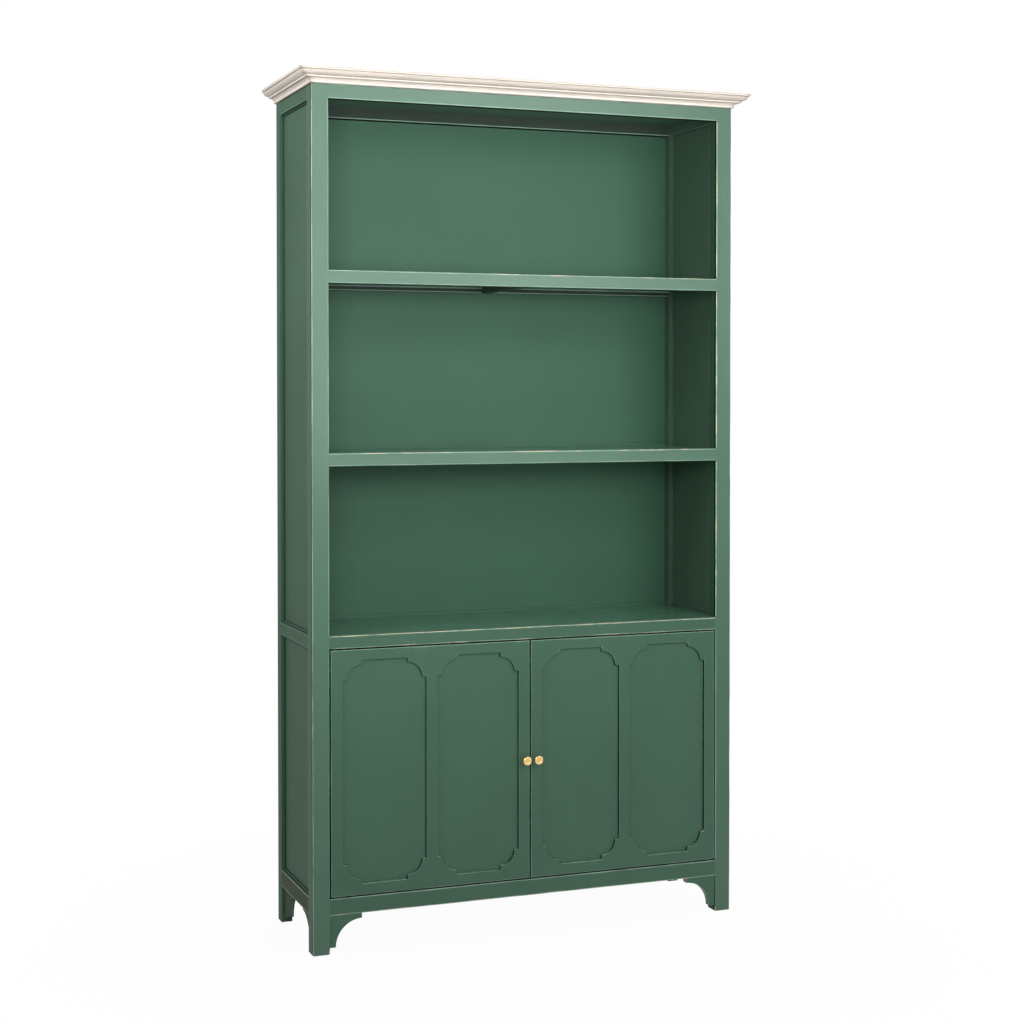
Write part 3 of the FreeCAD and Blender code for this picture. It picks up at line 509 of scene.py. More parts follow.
@dataclass(frozen=True)
class Limewash:
    """Off-white paint dragged along the grain, with brown glaze left in the hollows."""

    body: Colour = srgb(213, 204, 195)
    streak: Colour = srgb(186, 175, 162)
    bright: Colour = srgb(234, 228, 220)
    soil: Colour = srgb(112, 92, 74)
    roughness: float = 0.62
    gloss: float = 0.22
    relief: float = 0.18 * MM
    fine: tuple[float, float] = (6.0, 900.0)
    coarse: tuple[float, float] = (1.5, 260.0)
    grit_scale: float = 520.0

    def material(self, name: str, grain: Grain) -> bpy.types.Material:
        """Build the finish for members of one grain.

        Long thin streaks come from a noise stretched along the grain, the arrises
        are rubbed bright and the hollows keep their glaze.

        Args:
            name: the material's name.
            grain: the axis that the member runs along.

        Returns:
            The material.
        """
        material, graph = surface_material(name)
        lines = graph.noise(1.0, 4.0, grain.stretched(*self.fine))
        broad = graph.noise(1.0, 2.0, grain.stretched(*self.coarse))
        grit = graph.noise(self.grit_scale)
        streak = (lines - 0.5) * 1.5 + (broad - 0.5) * 0.6 + (grit - 0.5) * 0.6 + 0.4
        colour = graph.blend(streak.rise(0.0, 1.1), self.body, self.streak)
        colour = graph.blend(graph.painted("rub").rise(0.15, 0.9) * 0.8, colour, self.bright)
        soiled = graph.painted("soil") * (0.6 + lines * 0.8)
        colour = graph.blend(soiled.rise(0.2, 0.95) * 0.9, colour, self.soil)
        rough = self.roughness + (grit - 0.5) * 0.2
        height = 0.5 - (lines - 0.5) * 0.8 + (grit - 0.5) * 0.4
        graph.show_principled({"Base Color": colour, "Roughness": rough, "Specular IOR Level": self.gloss,
                               "Normal": graph.bump(height, self.relief)})
        return material


@dataclass(frozen=True)
class Metal:
    """Metal with fine turning or drawing marks and a light tarnish."""

    body: Colour
    tarnish: Colour
    roughness: float
    marks: float = 0.03 * MM
    mark_scales: tuple[float, float] = (3200.0, 1500.0)
    tarnish_scale: float = 160.0

    def material(self, name: str, centre: Point = (0.0, 0.0, 0.0)) -> bpy.types.Material:
        """Build the finish, with the marks turned about an axis along Y.

        Args:
            name: the material's name.
            centre: a point on the axis that the marks run round.

        Returns:
            The material.
        """
        material, graph = surface_material(name)
        shift = tuple(-part for part in centre)
        local = graph.node("ShaderNodeMapping", {}, {"Vector": graph.place, "Location": shift})
        x, y, z = graph.axes(local.outputs[0])
        around, beside = self.mark_scales
        rings = graph.node("ShaderNodeCombineXYZ", {}, {0: (x * x + z * z).root() * around, 1: y * beside})
        turned = Num(graph, graph.node("ShaderNodeTexNoise", {}, {
            "Vector": rings.outputs[0], "Scale": 1.0, "Detail": 2.0}).outputs[0])
        cloud = graph.noise(self.tarnish_scale, 3.0)
        colour = graph.blend(cloud.rise(0.42, 0.75) * 0.6, self.body, self.tarnish)
        rough = self.roughness + (turned - 0.5) * 0.12 + (cloud - 0.5) * 0.16
        graph.show_principled({"Base Color": colour, "Metallic": 1.0, "Roughness": rough,
                               "Normal": graph.bump(turned, self.marks)})
        return material


@dataclass(frozen=True)
class Plastic:
    """Moulded plastic with a fine spark-eroded texture."""

    body: Colour = srgb(78, 56, 42)
    roughness: float = 0.5
    grain_scale: float = 1400.0
    cloud_scale: float = 60.0
    relief: float = 0.05 * MM

    def material(self, name: str) -> bpy.types.Material:
        """Build the finish, with a cloudy tone and a fine even relief.

        Args:
            name: the material's name.

        Returns:
            The material.
        """
        material, graph = surface_material(name)
        texture = graph.noise(self.grain_scale)
        colour = graph.blend(graph.noise(self.cloud_scale), toned(self.body, 0.85), toned(self.body, 1.15))
        graph.show_principled({"Base Color": colour, "Roughness": self.roughness + (texture - 0.5) * 0.2,
                               "Normal": graph.bump(texture, self.relief)})
        return material


# -------------------------------------------------------------------- mesh language
def wander(places: Array, step: float, seed: int) -> Array:
    """Drift along a length: random knots a step apart, joined by half cosines.

    Args:
        places: the places along the length.
        step: the distance between knots.
        seed: the seed of the knots.

    Returns:
        A value from 0 to 1 for each place.
    """
    at = (places - places.min()) / step
    knots = np.random.default_rng(seed).random(int(at.max()) + 2)
    low = np.floor(at).astype(int)
    share = (1 - np.cos(np.pi * (at - low))) / 2
    return knots[low] * (1 - share) + knots[low + 1] * share


def outside(places: Array, spans: list[Span], fade: float) -> Array:
    """Return 0 inside the spans, rising to 1 at a fade's distance from them.

    Args:
        places: the places along the length.
        spans: the low and high end of each span.
        fade: the distance over which the value rises.

    Returns:
        A value from 0 to 1 for each place.
    """
    value = np.ones_like(places)
    for low, high in spans:
        beyond = np.maximum(low - places, places - high)
        value = value * np.clip(beyond / fade, 0, 1)
    return value


def between(ends: Span, share: Array) -> Array:
    """Return the value at each share of the way from the first end to the second."""
    return ends[0] + (ends[1] - ends[0]) * share


def stepped(low: float, high: float, step: float) -> Array:
    """Return even places from low to high, about a step apart."""
    return np.linspace(low, high, max(2, math.ceil((high - low) / step) + 1))


def eased_line(corners: Array, step: float, passes: int) -> Array:
    """Sample a broken line evenly and round its corners with repeated averages.

    Each pass moves a point halfway to the middle of its two neighbours; the ends stay.

    Args:
        corners: the line's corners, one in a row.
        step: the distance between samples.
        passes: how often the average is taken.

    Returns:
        The samples, one in a row.
    """
    travelled = np.concatenate([[0], np.cumsum(np.linalg.norm(np.diff(corners, axis=0), axis=1))])
    at = stepped(0, travelled[-1], step)
    line = np.stack([np.interp(at, travelled, corners[:, i]) for i in range(corners.shape[1])], 1)
    for _ in range(passes):
        line[1:-1] = (line[:-2] + 2 * line[1:-1] + line[2:]) / 4
    return line


def arc(centre: tuple[float, float], radii: tuple[float, float], turn: Span, count: int) -> Array:
    """Return points on an ellipse's arc between two angles in degrees."""
    angles = np.radians(np.linspace(turn[0], turn[1], count))
    return np.stack([centre[0] + radii[0] * np.cos(angles), centre[1] + radii[1] * np.sin(angles)], 1)


def drawing_in(loop: Array) -> tuple[Array, Array, Array]:
    """Work out how the points of a closed loop move when it is drawn in evenly.

    A stretch's normal is its direction turned left, and a point's mitre is the sum of
    the normals on both sides over one plus their product.

    Args:
        loop: the points in turn, one in a row.

    Returns:
        For each point the normals before and after it, and its mitre.
    """
    ahead = np.roll(loop, -1, axis=0) - loop
    ahead = ahead / np.linalg.norm(ahead, axis=1, keepdims=True)
    after = np.stack([-ahead[:, 1], ahead[:, 0]], 1)
    before = np.roll(after, 1, axis=0)
    mitre = (after + before) / (1 + np.sum(after * before, axis=1, keepdims=True))
    return before, after, mitre


def rounding(ease: float) -> tuple[Array, Array]:
    """Return e(1 - sin t) and e(1 - cos t) over a quarter turn, for an arris of radius e."""
    turn = np.linspace(0, np.pi / 2, ARRIS_STEPS)
    return ease * (1 - np.sin(turn)), ease * (1 - np.cos(turn))


def nearness(line: Array, marks: Array, reach: float) -> Array:
    """Return a bell of 1 at the marked places of a line, falling away over the reach."""
    gaps = np.linalg.norm(line[:, None, :] - marks[None, :, :], axis=2).min(axis=1)
    return np.exp(-((gaps / reach) ** 2))


class Skin:
    """Grids of points gathered into one closed mesh, with worn places and painted highlights, grime and
    painted shade, and dull places.
    """

    # the first layer holds wear and painted highlights, the second grime and painted shade, the third
    # dullness
    LAYERS = ("rub", "soil", "dull")

    def __init__(self) -> None:
        """Start with nothing."""
        self.points: list[Array] = []
        self.faces: list[list[int]] = []
        self.values: dict[str, list[Array]] = {name: [] for name in self.LAYERS}
        self.count = 0

    def grid(self, points: Array, wrap: bool = False, **values: Union[float, Array]) -> Array:
        """Add a grid of points and the quads between them.

        Args:
            points: rows by columns by three.
            wrap: whether the last column is joined to the first.
            values: for each layer a value for each point, or something that spreads to that.

        Returns:
            The numbers of the points, rows by columns.
        """
        rows, columns = points.shape[:2]
        numbers = self.count + np.arange(rows * columns).reshape(rows, columns)
        self.count += rows * columns
        self.points.append(points.reshape(-1, 3))
        for name, layer in self.values.items():
            layer.append(np.broadcast_to(values.get(name, 0.0), (rows, columns)).ravel())
        ring = np.concatenate([numbers, numbers[:, :1]], axis=1) if wrap else numbers
        quads = np.stack([ring[:-1, :-1], ring[:-1, 1:], ring[1:, 1:], ring[1:, :-1]], -1)
        self.faces += quads.reshape(-1, 4).tolist()
        return numbers

    def cap(self, loop: Array) -> None:
        """Close a loop of point numbers with one flat face."""
        self.faces.append(loop.tolist())

    def capped(self, points: Array, **values: Union[float, Array]) -> None:
        """Add a grid of closed rows, such as a carried profile, and close both its ends.

        Args:
            points: rows by columns by three.
            values: for each layer a value for each point.
        """
        numbers = self.grid(points, wrap=True, **values)
        self.cap(numbers[0])
        self.cap(numbers[-1])

    def piece(self, name: str) -> bpy.types.Object:
        """Weld the points, turn the faces outwards and return the finished object.

        Args:
            name: the piece's name.

        Returns:
            The object, shaded smooth between its sharp edges.
        """
        mesh = bpy.data.meshes.new(name)
        mesh.from_pydata(np.concatenate(self.points).tolist(), [], self.faces)
        for layer_name, values in self.values.items():
            layer = mesh.attributes.new(layer_name, "FLOAT", "POINT")
            layer.data.foreach_set("value", np.concatenate(values).astype(np.float32))
        work = bmesh.new()
        work.from_mesh(mesh)
        bmesh.ops.remove_doubles(work, verts=work.verts, dist=WELD)
        bmesh.ops.recalc_face_normals(work, faces=work.faces)
        work.to_mesh(mesh)
        work.free()
        mesh.shade_smooth()
        mesh.set_sharp_from_angle(angle=SMOOTH_BELOW)
        return placed(name, mesh)


def settle(piece: bpy.types.Object, body: str, slot: Slot, material: bpy.types.Material,
           *nodes: str) -> None:
    """Give a new piece its material and body, and hide the nodes that it stands for.

    Args:
        piece: the finished object.
        body: the body that it rides on.
        slot: not used.
        material: its finish.
        nodes: the nodes that it replaces.
    """
    piece.data.materials.clear()
    piece.data.materials.append(material)
    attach(piece, body)
    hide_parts(*nodes)
    LOG.info("%s: %d faces on %s, for %s", piece.name, len(piece.data.polygons), body, ", ".join(nodes))


# --------------------------------------------------------------------- frame timbers
@dataclass
class Timber:
    """A planed bar with hand-rubbed arrises: a right-angled section carried along it.

    The section's corners are given in the plane of the two other axes, in turn.  Face
    number n runs from corner n to the next one.  What is given for a corner (held,
    wear, spared, shade lines, dull) or a face (grime and painted shade, painted shade
    over the whole face, dull) is looked up by its number.  A corner given a shade line
    has a painted shade line on the face before it if True, else after it.
    """

    name: str
    grain: Grain
    section: list[tuple[float, float]]
    length: Span
    seed: int
    held: dict[int, list[Span]] = field(default_factory=dict)
    wear: dict[int, Span] = field(default_factory=dict)
    spared: dict[int, list[Span]] = field(default_factory=dict)
    soiled: dict[int, list[Span]] = field(default_factory=dict)
    painted_shade_faces: dict[int, float] = field(default_factory=dict)
    shade_lined: dict[int, bool] = field(default_factory=dict)
    dull: dict[int, float] = field(default_factory=dict)
    usual_wear: Span = (0.3, 0.65)
    spared_wear: float = 0.75
    roundness: Span = (0.7, 1.3)
    foot: float = 0.0
    foot_ring: float = 0.3
    arris: float = 1.7 * MM
    held_arris: float = 0.15 * MM
    hollow: float = 0.25 * MM
    ring_step: float = 5 * MM
    bands: tuple[float, float, float] = (1.0 * MM, 5 * MM, 10 * MM)
    band_shares: tuple[float, float, float] = (0.1, 0.25, 0.4)
    fade: float = 4 * MM
    end_fade: float = 20 * MM
    blotch_step: float = 35 * MM
    drift_step: float = 60 * MM
    hollow_step: float = 150 * MM

    # over the seven points of a face, from the corner before it to the one after it
    BESIDE = np.array([0.35, 0.05, 0, 0, 0, 0, 0])
    # painted shade line beside an arris that turns away from the light
    SHADE_LINE = np.array([1, 0.9, 0, 0, 0, 0, 0])
    DULL_FACE = np.array([1, 1, 0.95, 0.55, 0.5, 0.5, 0.5])
    # over the points of an arris
    DULL_ARRIS = np.array([0, 0, 0, 0.5, 1])

    def radii(self, along: Array) -> tuple[Array, Array]:
        """Work out how round and how rubbed each corner is along the bar.

        Args:
            along: the places of the rings.

        Returns:
            Radius and rubbing, rings by corners.
        """
        radius, rub = [], []
        for corner in range(len(self.section)):
            seed = self.seed + 7 * corner
            free = outside(along, self.held.get(corner, []), self.fade)
            round_here = self.arris * between(self.roundness, wander(along, self.drift_step, seed))
            radius.append(between((self.held_arris, round_here), free))
            open_here = outside(along, self.spared.get(corner, []), self.fade)
            blotches = wander(along, self.blotch_step, seed + 3)
            rub.append(free * between((self.spared_wear, 1.0), open_here)
                       * between(self.wear.get(corner, self.usual_wear), blotches))
        return np.stack(radius, 1), np.stack(rub, 1)

    def layers(self, along: Array, rub: Array) -> dict[str, Array]:
        """Spread the wear over the section: full on an arris and faint beside it.

        Args:
            along: the places of the rings.
            rub: the rubbing, rings by corners.

        Returns:
            Wear and painted highlight, grime and painted shade, and dulling, each rings by section points.
        """
        corners = range(len(self.section))
        worn = np.repeat(rub[..., None], ARRIS_STEPS, axis=2)
        sides = rub[..., None] * self.BESIDE + np.roll(rub, -1, axis=1)[..., None] * self.BESIDE[::-1]
        # grime and painted shade on the listed faces, then painted shade over whole faces and beside arrises
        dirt_and_shade = np.stack([1 - outside(along, self.soiled.get(n, []), MM) for n in corners], 1)[..., None]
        beside = np.repeat([[self.painted_shade_faces.get(n, 0.0)] for n in corners], len(self.BESIDE), axis=1)
        lines = np.zeros((len(corners), ARRIS_STEPS))
        for corner, before in self.shade_lined.items():
            lines[corner, 0 if before else -1] = 1
            face = corner - before
            beside[face] = np.maximum(beside[face], self.SHADE_LINE[::-1] if before else self.SHADE_LINE)
        dull = np.array([self.dull.get(n, 0.0) for n in corners])[None, :, None]
        free = np.clip(4 * rub, 0, 1)[..., None]
        parts = {"rub": [worn, sides],
                 "soil": [free * lines[None], np.maximum(dirt_and_shade, beside[None])],
                 "dull": [dull * self.DULL_ARRIS + 0 * worn, dull * self.DULL_FACE + 0 * sides]}
        return {name: np.concatenate(pair, axis=2).reshape(len(along), -1) for name, pair in parts.items()}

    def surface(self) -> tuple[Array, dict[str, Array]]:
        """Carry the section along the bar.

        At a corner with unit directions u in and v out and radius r the section
        follows C + r(u sin t - v cos t) about C = corner + r(v - u), and between two
        corners it runs straight, but for a shallow hollow 4t(1 - t) deep in the middle.

        Returns:
            The points, rings by section points, and their layers of wear.
        """
        low, high = self.length
        along = stepped(low, high, self.ring_step)
        inset = 0 * along
        if self.foot:
            along = np.unique(np.concatenate([along, [low + self.foot, low + self.foot * self.foot_ring]]))
            inset = self.foot * np.clip(1 - (along - low) / self.foot, 0, 1)
        corners = np.array(self.section)
        radius, rub = self.radii(along)
        into = corners - np.roll(corners, 1, axis=0)
        into = into / np.linalg.norm(into, axis=1, keepdims=True)
        out = np.roll(into, -1, axis=0)
        spread = corners[None] - inset[:, None, None] * np.sign(corners - corners.mean(axis=0))[None]
        centre = spread + radius[..., None] * (out - into)[None]
        turn = np.linspace(0, np.pi / 2, ARRIS_STEPS)[None, None, :, None]
        bend = centre[:, :, None] + radius[:, :, None, None] * (
            into[None, :, None] * np.sin(turn) - out[None, :, None] * np.cos(turn))
        start = bend[:, :, -1]
        finish = np.roll(bend[:, :, 0], -1, axis=1)
        run = np.linalg.norm(finish - start, axis=2)
        near, far, clear = (np.minimum(gap / run, most) for gap, most in zip(self.bands, self.band_shares))
        shares = np.stack([near, far, clear, 0 * near + 0.5, 1 - clear, 1 - far, 1 - near], 2)[..., None]
        sunk = self.hollow * np.stack([wander(along, self.hollow_step, self.seed + 50 + i)
                                       for i in range(len(corners))], 1)
        fade = np.clip(np.minimum(along - low, high - along) / self.end_fade, 0, 1)
        dip = (sunk * fade[:, None])[:, :, None, None] * 4 * shares * (1 - shares)
        outwards = np.stack([out[:, 1], -out[:, 0]], 1) * self.turning(corners)
        flat = start[:, :, None] + shares * (finish - start)[:, :, None] - dip * outwards[None, :, None]
        plane = np.concatenate([bend, flat], axis=2).reshape(len(along), -1, 2)
        points = np.zeros((*plane.shape[:2], 3))
        points[..., [axis for axis in range(3) if axis != self.grain.value]] = plane
        points[..., self.grain.value] = along[:, None]
        return points, self.layers(along, rub)

    @staticmethod
    def turning(corners: Array) -> float:
        """Return 1 for corners listed against the clock, and -1 for the other way."""
        following = np.roll(corners, -1, axis=0)
        return float(np.sign(np.sum(corners[:, 0] * following[:, 1] - corners[:, 1] * following[:, 0])))

    def build(self) -> bpy.types.Object:
        """Return the bar as a closed piece.

        Returns:
            The object.
        """
        skin = Skin()
        points, layers = self.surface()
        skin.capped(points, **layers)
        return skin.piece(self.name)


@dataclass(frozen=True)
class FrontRail:
    """A front rail: its node, the board in its rebate and the wear of its front arrises."""

    node: str
    board: str
    lower_wear: Span = (0.6, 0.85)
    upper_wear: Span = (0.85, 1.1)
    door_below: bool = False
    door_above: bool = False


@dataclass
class FrontFrame:
    """The two front posts and the five rails between them, which take the most wear."""

    rails: tuple[FrontRail, ...] = (
        FrontRail("front_top_rail", "ceiling_panel", (0.7, 0.9), (0.3, 0.6)),
        FrontRail("front_deck_rail", "deck_board", (0.4, 1.25), (0.95, 1.14), door_below=True),
        FrontRail("front_bottom_rail", "cabinet_floor", (0.9, 1.15), (0.55, 1.0), door_above=True),
        FrontRail("lower_shelf_front_rail", "lower_shelf_board"),
        FrontRail("upper_shelf_front_rail", "upper_shelf_board"))
    rebate: float = 8 * MM
    plate_proud: float = 0.1 * MM
    foot: float = 1.5 * MM
    # depth of the painted shadow under the crown on the posts' outer faces
    under_crown: float = 4 * MM
    inner_wear: dict[Side, Span] = field(default_factory=lambda: {
        Side.LEFT: (0.55, 0.85), Side.RIGHT: (0.95, 1.12)})
    outer_wear: Span = (0.45, 0.75)

    def build_posts(self, paint: bpy.types.Material) -> None:
        """Build both posts, with their arrises left sharp where a rail meets them.

        Args:
            paint: the finish.
        """
        door_span = (span("front_bottom_rail", "z")[1], span("front_deck_rail", "z")[0])
        by_crown = span("front_crown", "z")[0] - self.under_crown
        for side in Side:
            node = side.name_of("front_post")
            inner, outer = span(node, "x")[::side.value]
            front, back = span(node, "y")
            length = span(node, "z")
            front_spans = [span(rail.node, "z") for rail in self.rails] + [
                span(side.name_of("front_bracket"), "z")]
            side_spans = [span(side.name_of(rail), "z") for rail in SIDE_RAILS]
            post = Timber(node + "_worn", Grain.Z,
                          [(inner, front), (outer, front), (outer, back), (inner, back)], length,
                          seed=100 + side.value * 11, held={0: front_spans, 2: side_spans},
                          wear={0: self.inner_wear[side], 1: self.outer_wear}, spared={0: [door_span]},
                          # painted shade: the inner face along the door gap and as a whole, the outer face
                          # under the crown, and shade lines beside both front arrises
                          soiled={3: [door_span], 1: [(by_crown, length[1])]}, painted_shade_faces={3: 0.5},
                          shade_lined={0: True, 1: False}, dull={1: 1.0, 3: 0.4}, foot=self.foot)
            settle(post.build(), "carcass", Slot.SAGE, paint, node)

    def build_rails(self, paint: bpy.types.Material, low_paint: bpy.types.Material) -> None:
        """Build the rails, each with a rebate for its board and sharp ends at the posts.

        Args:
            paint: the finish of the upper rails.
            low_paint: the finish of the rails above and below the doors.
        """
        length = (span("left_front_post", "x")[1], span("right_front_post", "x")[0])
        for number, rail in enumerate(self.rails):
            front, back = span(rail.node, "y")
            bottom, top = span(rail.node, "z")
            board_bottom, board_top = span(rail.board, "z")
            ledge = top - (board_top - board_bottom)
            ledge_y = back - self.rebate
            bottom += self.plate_proud * rail.door_below
            top -= self.plate_proud * rail.door_above
            section = [(front, bottom), (back, bottom), (back, ledge), (ledge_y, ledge), (ledge_y, top),
                       (front, top)]
            # painted shade on the underside, and on the top where it lies in the door gap
            shaded_rail_faces = (0, 4) if rail.door_above else (0,)
            finish = low_paint if rail.door_below or rail.door_above else paint
            bar = Timber(rail.node + "_worn", Grain.X, section, length, seed=300 + 29 * number,
                         held={corner: [length] for corner in (1, 2, 3, 4)},
                         wear={0: rail.lower_wear, 5: rail.upper_wear},
                         soiled={face: [length] for face in shaded_rail_faces})
            settle(bar.build(), "carcass", Slot.SAGE, finish, rail.node)


# ---------------------------------------------------------------------------- crown
@dataclass
class Crown:
    """The moulded crown: one section carried along the front and both sides."""

    band: float = 5.5 * MM
    band_step: float = 4 * MM
    ovolo: tuple[float, float] = (14.5 * MM, 12 * MM)
    flat: float = 4.5 * MM
    flat_step: float = 6 * MM
    cove: float = 8 * MM
    foot: float = 3 * MM
    recess_lap: float = 12.3 * MM
    sample: float = 0.45 * MM
    ring_step: float = 25 * MM
    wave: float = 0.15 * MM
    wave_step: float = 0.12
    wave_fade: float = 0.125
    blotches: Span = (0.85, 1.0)
    blotch_step: float = 0.04
    band_worn: float = 1.5 * MM
    flat_worn: float = 2.4 * MM
    arris_reach: float = 1.2 * MM
    hollow_reach: float = 1.1 * MM
    mitre_reach: float = 0.7 * MM
    mitre_soil: float = 0.6

    def __post_init__(self) -> None:
        """Read the crown's outer sizes from the frame."""
        self.half = span("front_crown", "x")[1]
        self.front, inner = span("front_crown", "y")
        self.width = inner - self.front
        self.bottom, top = span("front_crown", "z")
        self.height = top - self.bottom
        panel_bottom, panel_top = span("top_panel", "z")
        self.drop = panel_top - panel_bottom
        self.recess_end = span("top_panel", "y")[1]
        self.end = span("right_crown", "y")[1]

    def section(self) -> tuple[Array, Array, Array]:
        """Work out the moulded stretch of the section, in by the way in and the height.

        Returns:
            The points, how near each is to an arris, and how near to a hollow.
        """
        under_band = self.height - self.band
        flat_in = self.band_step + self.ovolo[0]
        flat_high = under_band - self.ovolo[1]
        flat_low = flat_high - self.flat
        cove_in = flat_in + self.flat_step
        foot_in = cove_in + self.cove
        foot_high = flat_low - self.cove
        line = eased_line(np.concatenate([
            [[self.width - self.recess_lap, self.height], [0, self.height], [0, under_band]],
            arc((flat_in, under_band), self.ovolo, (180, 270), 14),
            [[flat_in, flat_low]],
            arc((cove_in, foot_high), (self.cove, self.cove), (90, 0), 10),
            arc((foot_in + self.foot, self.foot), (self.foot, self.foot), (180, 270), 7),
            [[self.width, 0]]]), self.sample, 2)
        arrises = np.array([[0, self.height], [0, under_band + self.band_worn], [flat_in, flat_low],
                            [flat_in, flat_low + self.flat_worn], [foot_in, 1.5 * self.foot],
                            [foot_in, self.foot]])
        hollows = np.array([[self.band_step, under_band], [flat_in, flat_high], [cove_in, flat_low],
                            [foot_in + self.foot, 0.0]])
        return line, nearness(line, arrises, self.arris_reach), nearness(line, hollows, self.hollow_reach)

    def rings(self, shares: Array, drop: float, seed: int) -> tuple[Array, Array, Array, Array]:
        """Repeat the whole section for each share of a member's length.

        Args:
            shares: 0 to 1 along the member.
            drop: depth of the rebate for the top panel.
            seed: the seed of the member's slight waves.

        Returns:
            Way in, height, rubbing and soiling, rings by section points.
        """
        line, rub, soil = self.section()
        ledge = [[self.width, self.height - drop], [self.width - self.recess_lap, self.height - drop]]
        line = np.concatenate([line, ledge])
        rub, soil = (np.concatenate([layer, [0, 0]]) for layer in (rub, soil))
        fade = np.clip(np.minimum(shares, 1 - shares) / self.wave_fade, 0, 1)
        wave = self.wave * wander(shares, self.wave_step, seed) * fade
        inward = line[None, :, 0] + wave[:, None] * (line[None, :, 0] < self.width / 2)
        blotch = between(self.blotches, wander(shares, self.blotch_step, seed + 5))
        height, soil = (np.broadcast_to(row, inward.shape) for row in (line[:, 1], soil))
        return inward, height, rub[None] * blotch[:, None], soil

    def mitre_dirt(self, gap: Array) -> Array:
        """Return how dirty a point is at a distance from a mitre."""
        return self.mitre_soil * np.exp(-gap / self.mitre_reach)

    def build_front(self, paint: bpy.types.Material) -> None:
        """Build the front member, whose length shrinks inwards to its mitres.

        A ring at share s lies at x = (2s - 1)(half the length - the way in).

        Args:
            paint: the finish.
        """
        shares = stepped(0, 1, self.ring_step / (2 * self.half))
        inward, height, rub, soil = self.rings(shares, self.drop, 11)
        reach = self.half - inward - HAIRLINE
        across = (2 * shares[:, None] - 1) * reach
        points = np.stack([across, self.front + inward, self.bottom + height], 2)
        skin = Skin()
        skin.capped(points, rub=rub, soil=np.maximum(soil, self.mitre_dirt(reach - np.abs(across))))
        settle(skin.piece("front_crown_moulded"), "carcass", Slot.CREAM, paint, "front_crown")

    def build_side(self, side: Side, paint: bpy.types.Material) -> None:
        """Build a side member, mitred in front and square behind, with its rebate ending short.

        A ring at share s lies at y = front + way in + s(the rest to the rebate's end).

        Args:
            side: the member's side.
            paint: the finish.
        """
        start = self.front + HAIRLINE
        shares = stepped(0, 1, self.ring_step / (self.end - self.front))
        inward, height, rub, soil = self.rings(shares, self.drop, 31 + side.value)
        gap = shares[:, None] * (self.recess_end - start - inward)
        parts = [(inward, height, start + inward + gap, rub, np.maximum(soil, self.mitre_dirt(gap)))]
        behind = np.array([0.0, 1.0])
        inward, height, rub, soil = self.rings(behind, 0.0, 41)
        reach = self.recess_end + behind[:, None] * (self.end - self.recess_end) + 0 * inward
        parts.append((inward, height, reach, rub, soil))
        inward, height, reach, rub, soil = (np.concatenate(group) for group in zip(*parts))
        points = np.stack([side.value * (self.half - inward), reach, self.bottom + height], 2)
        skin = Skin()
        skin.capped(points, rub=rub, soil=soil)
        node = side.name_of("crown")
        settle(skin.piece(node + "_moulded"), "carcass", Slot.CREAM, paint, node)


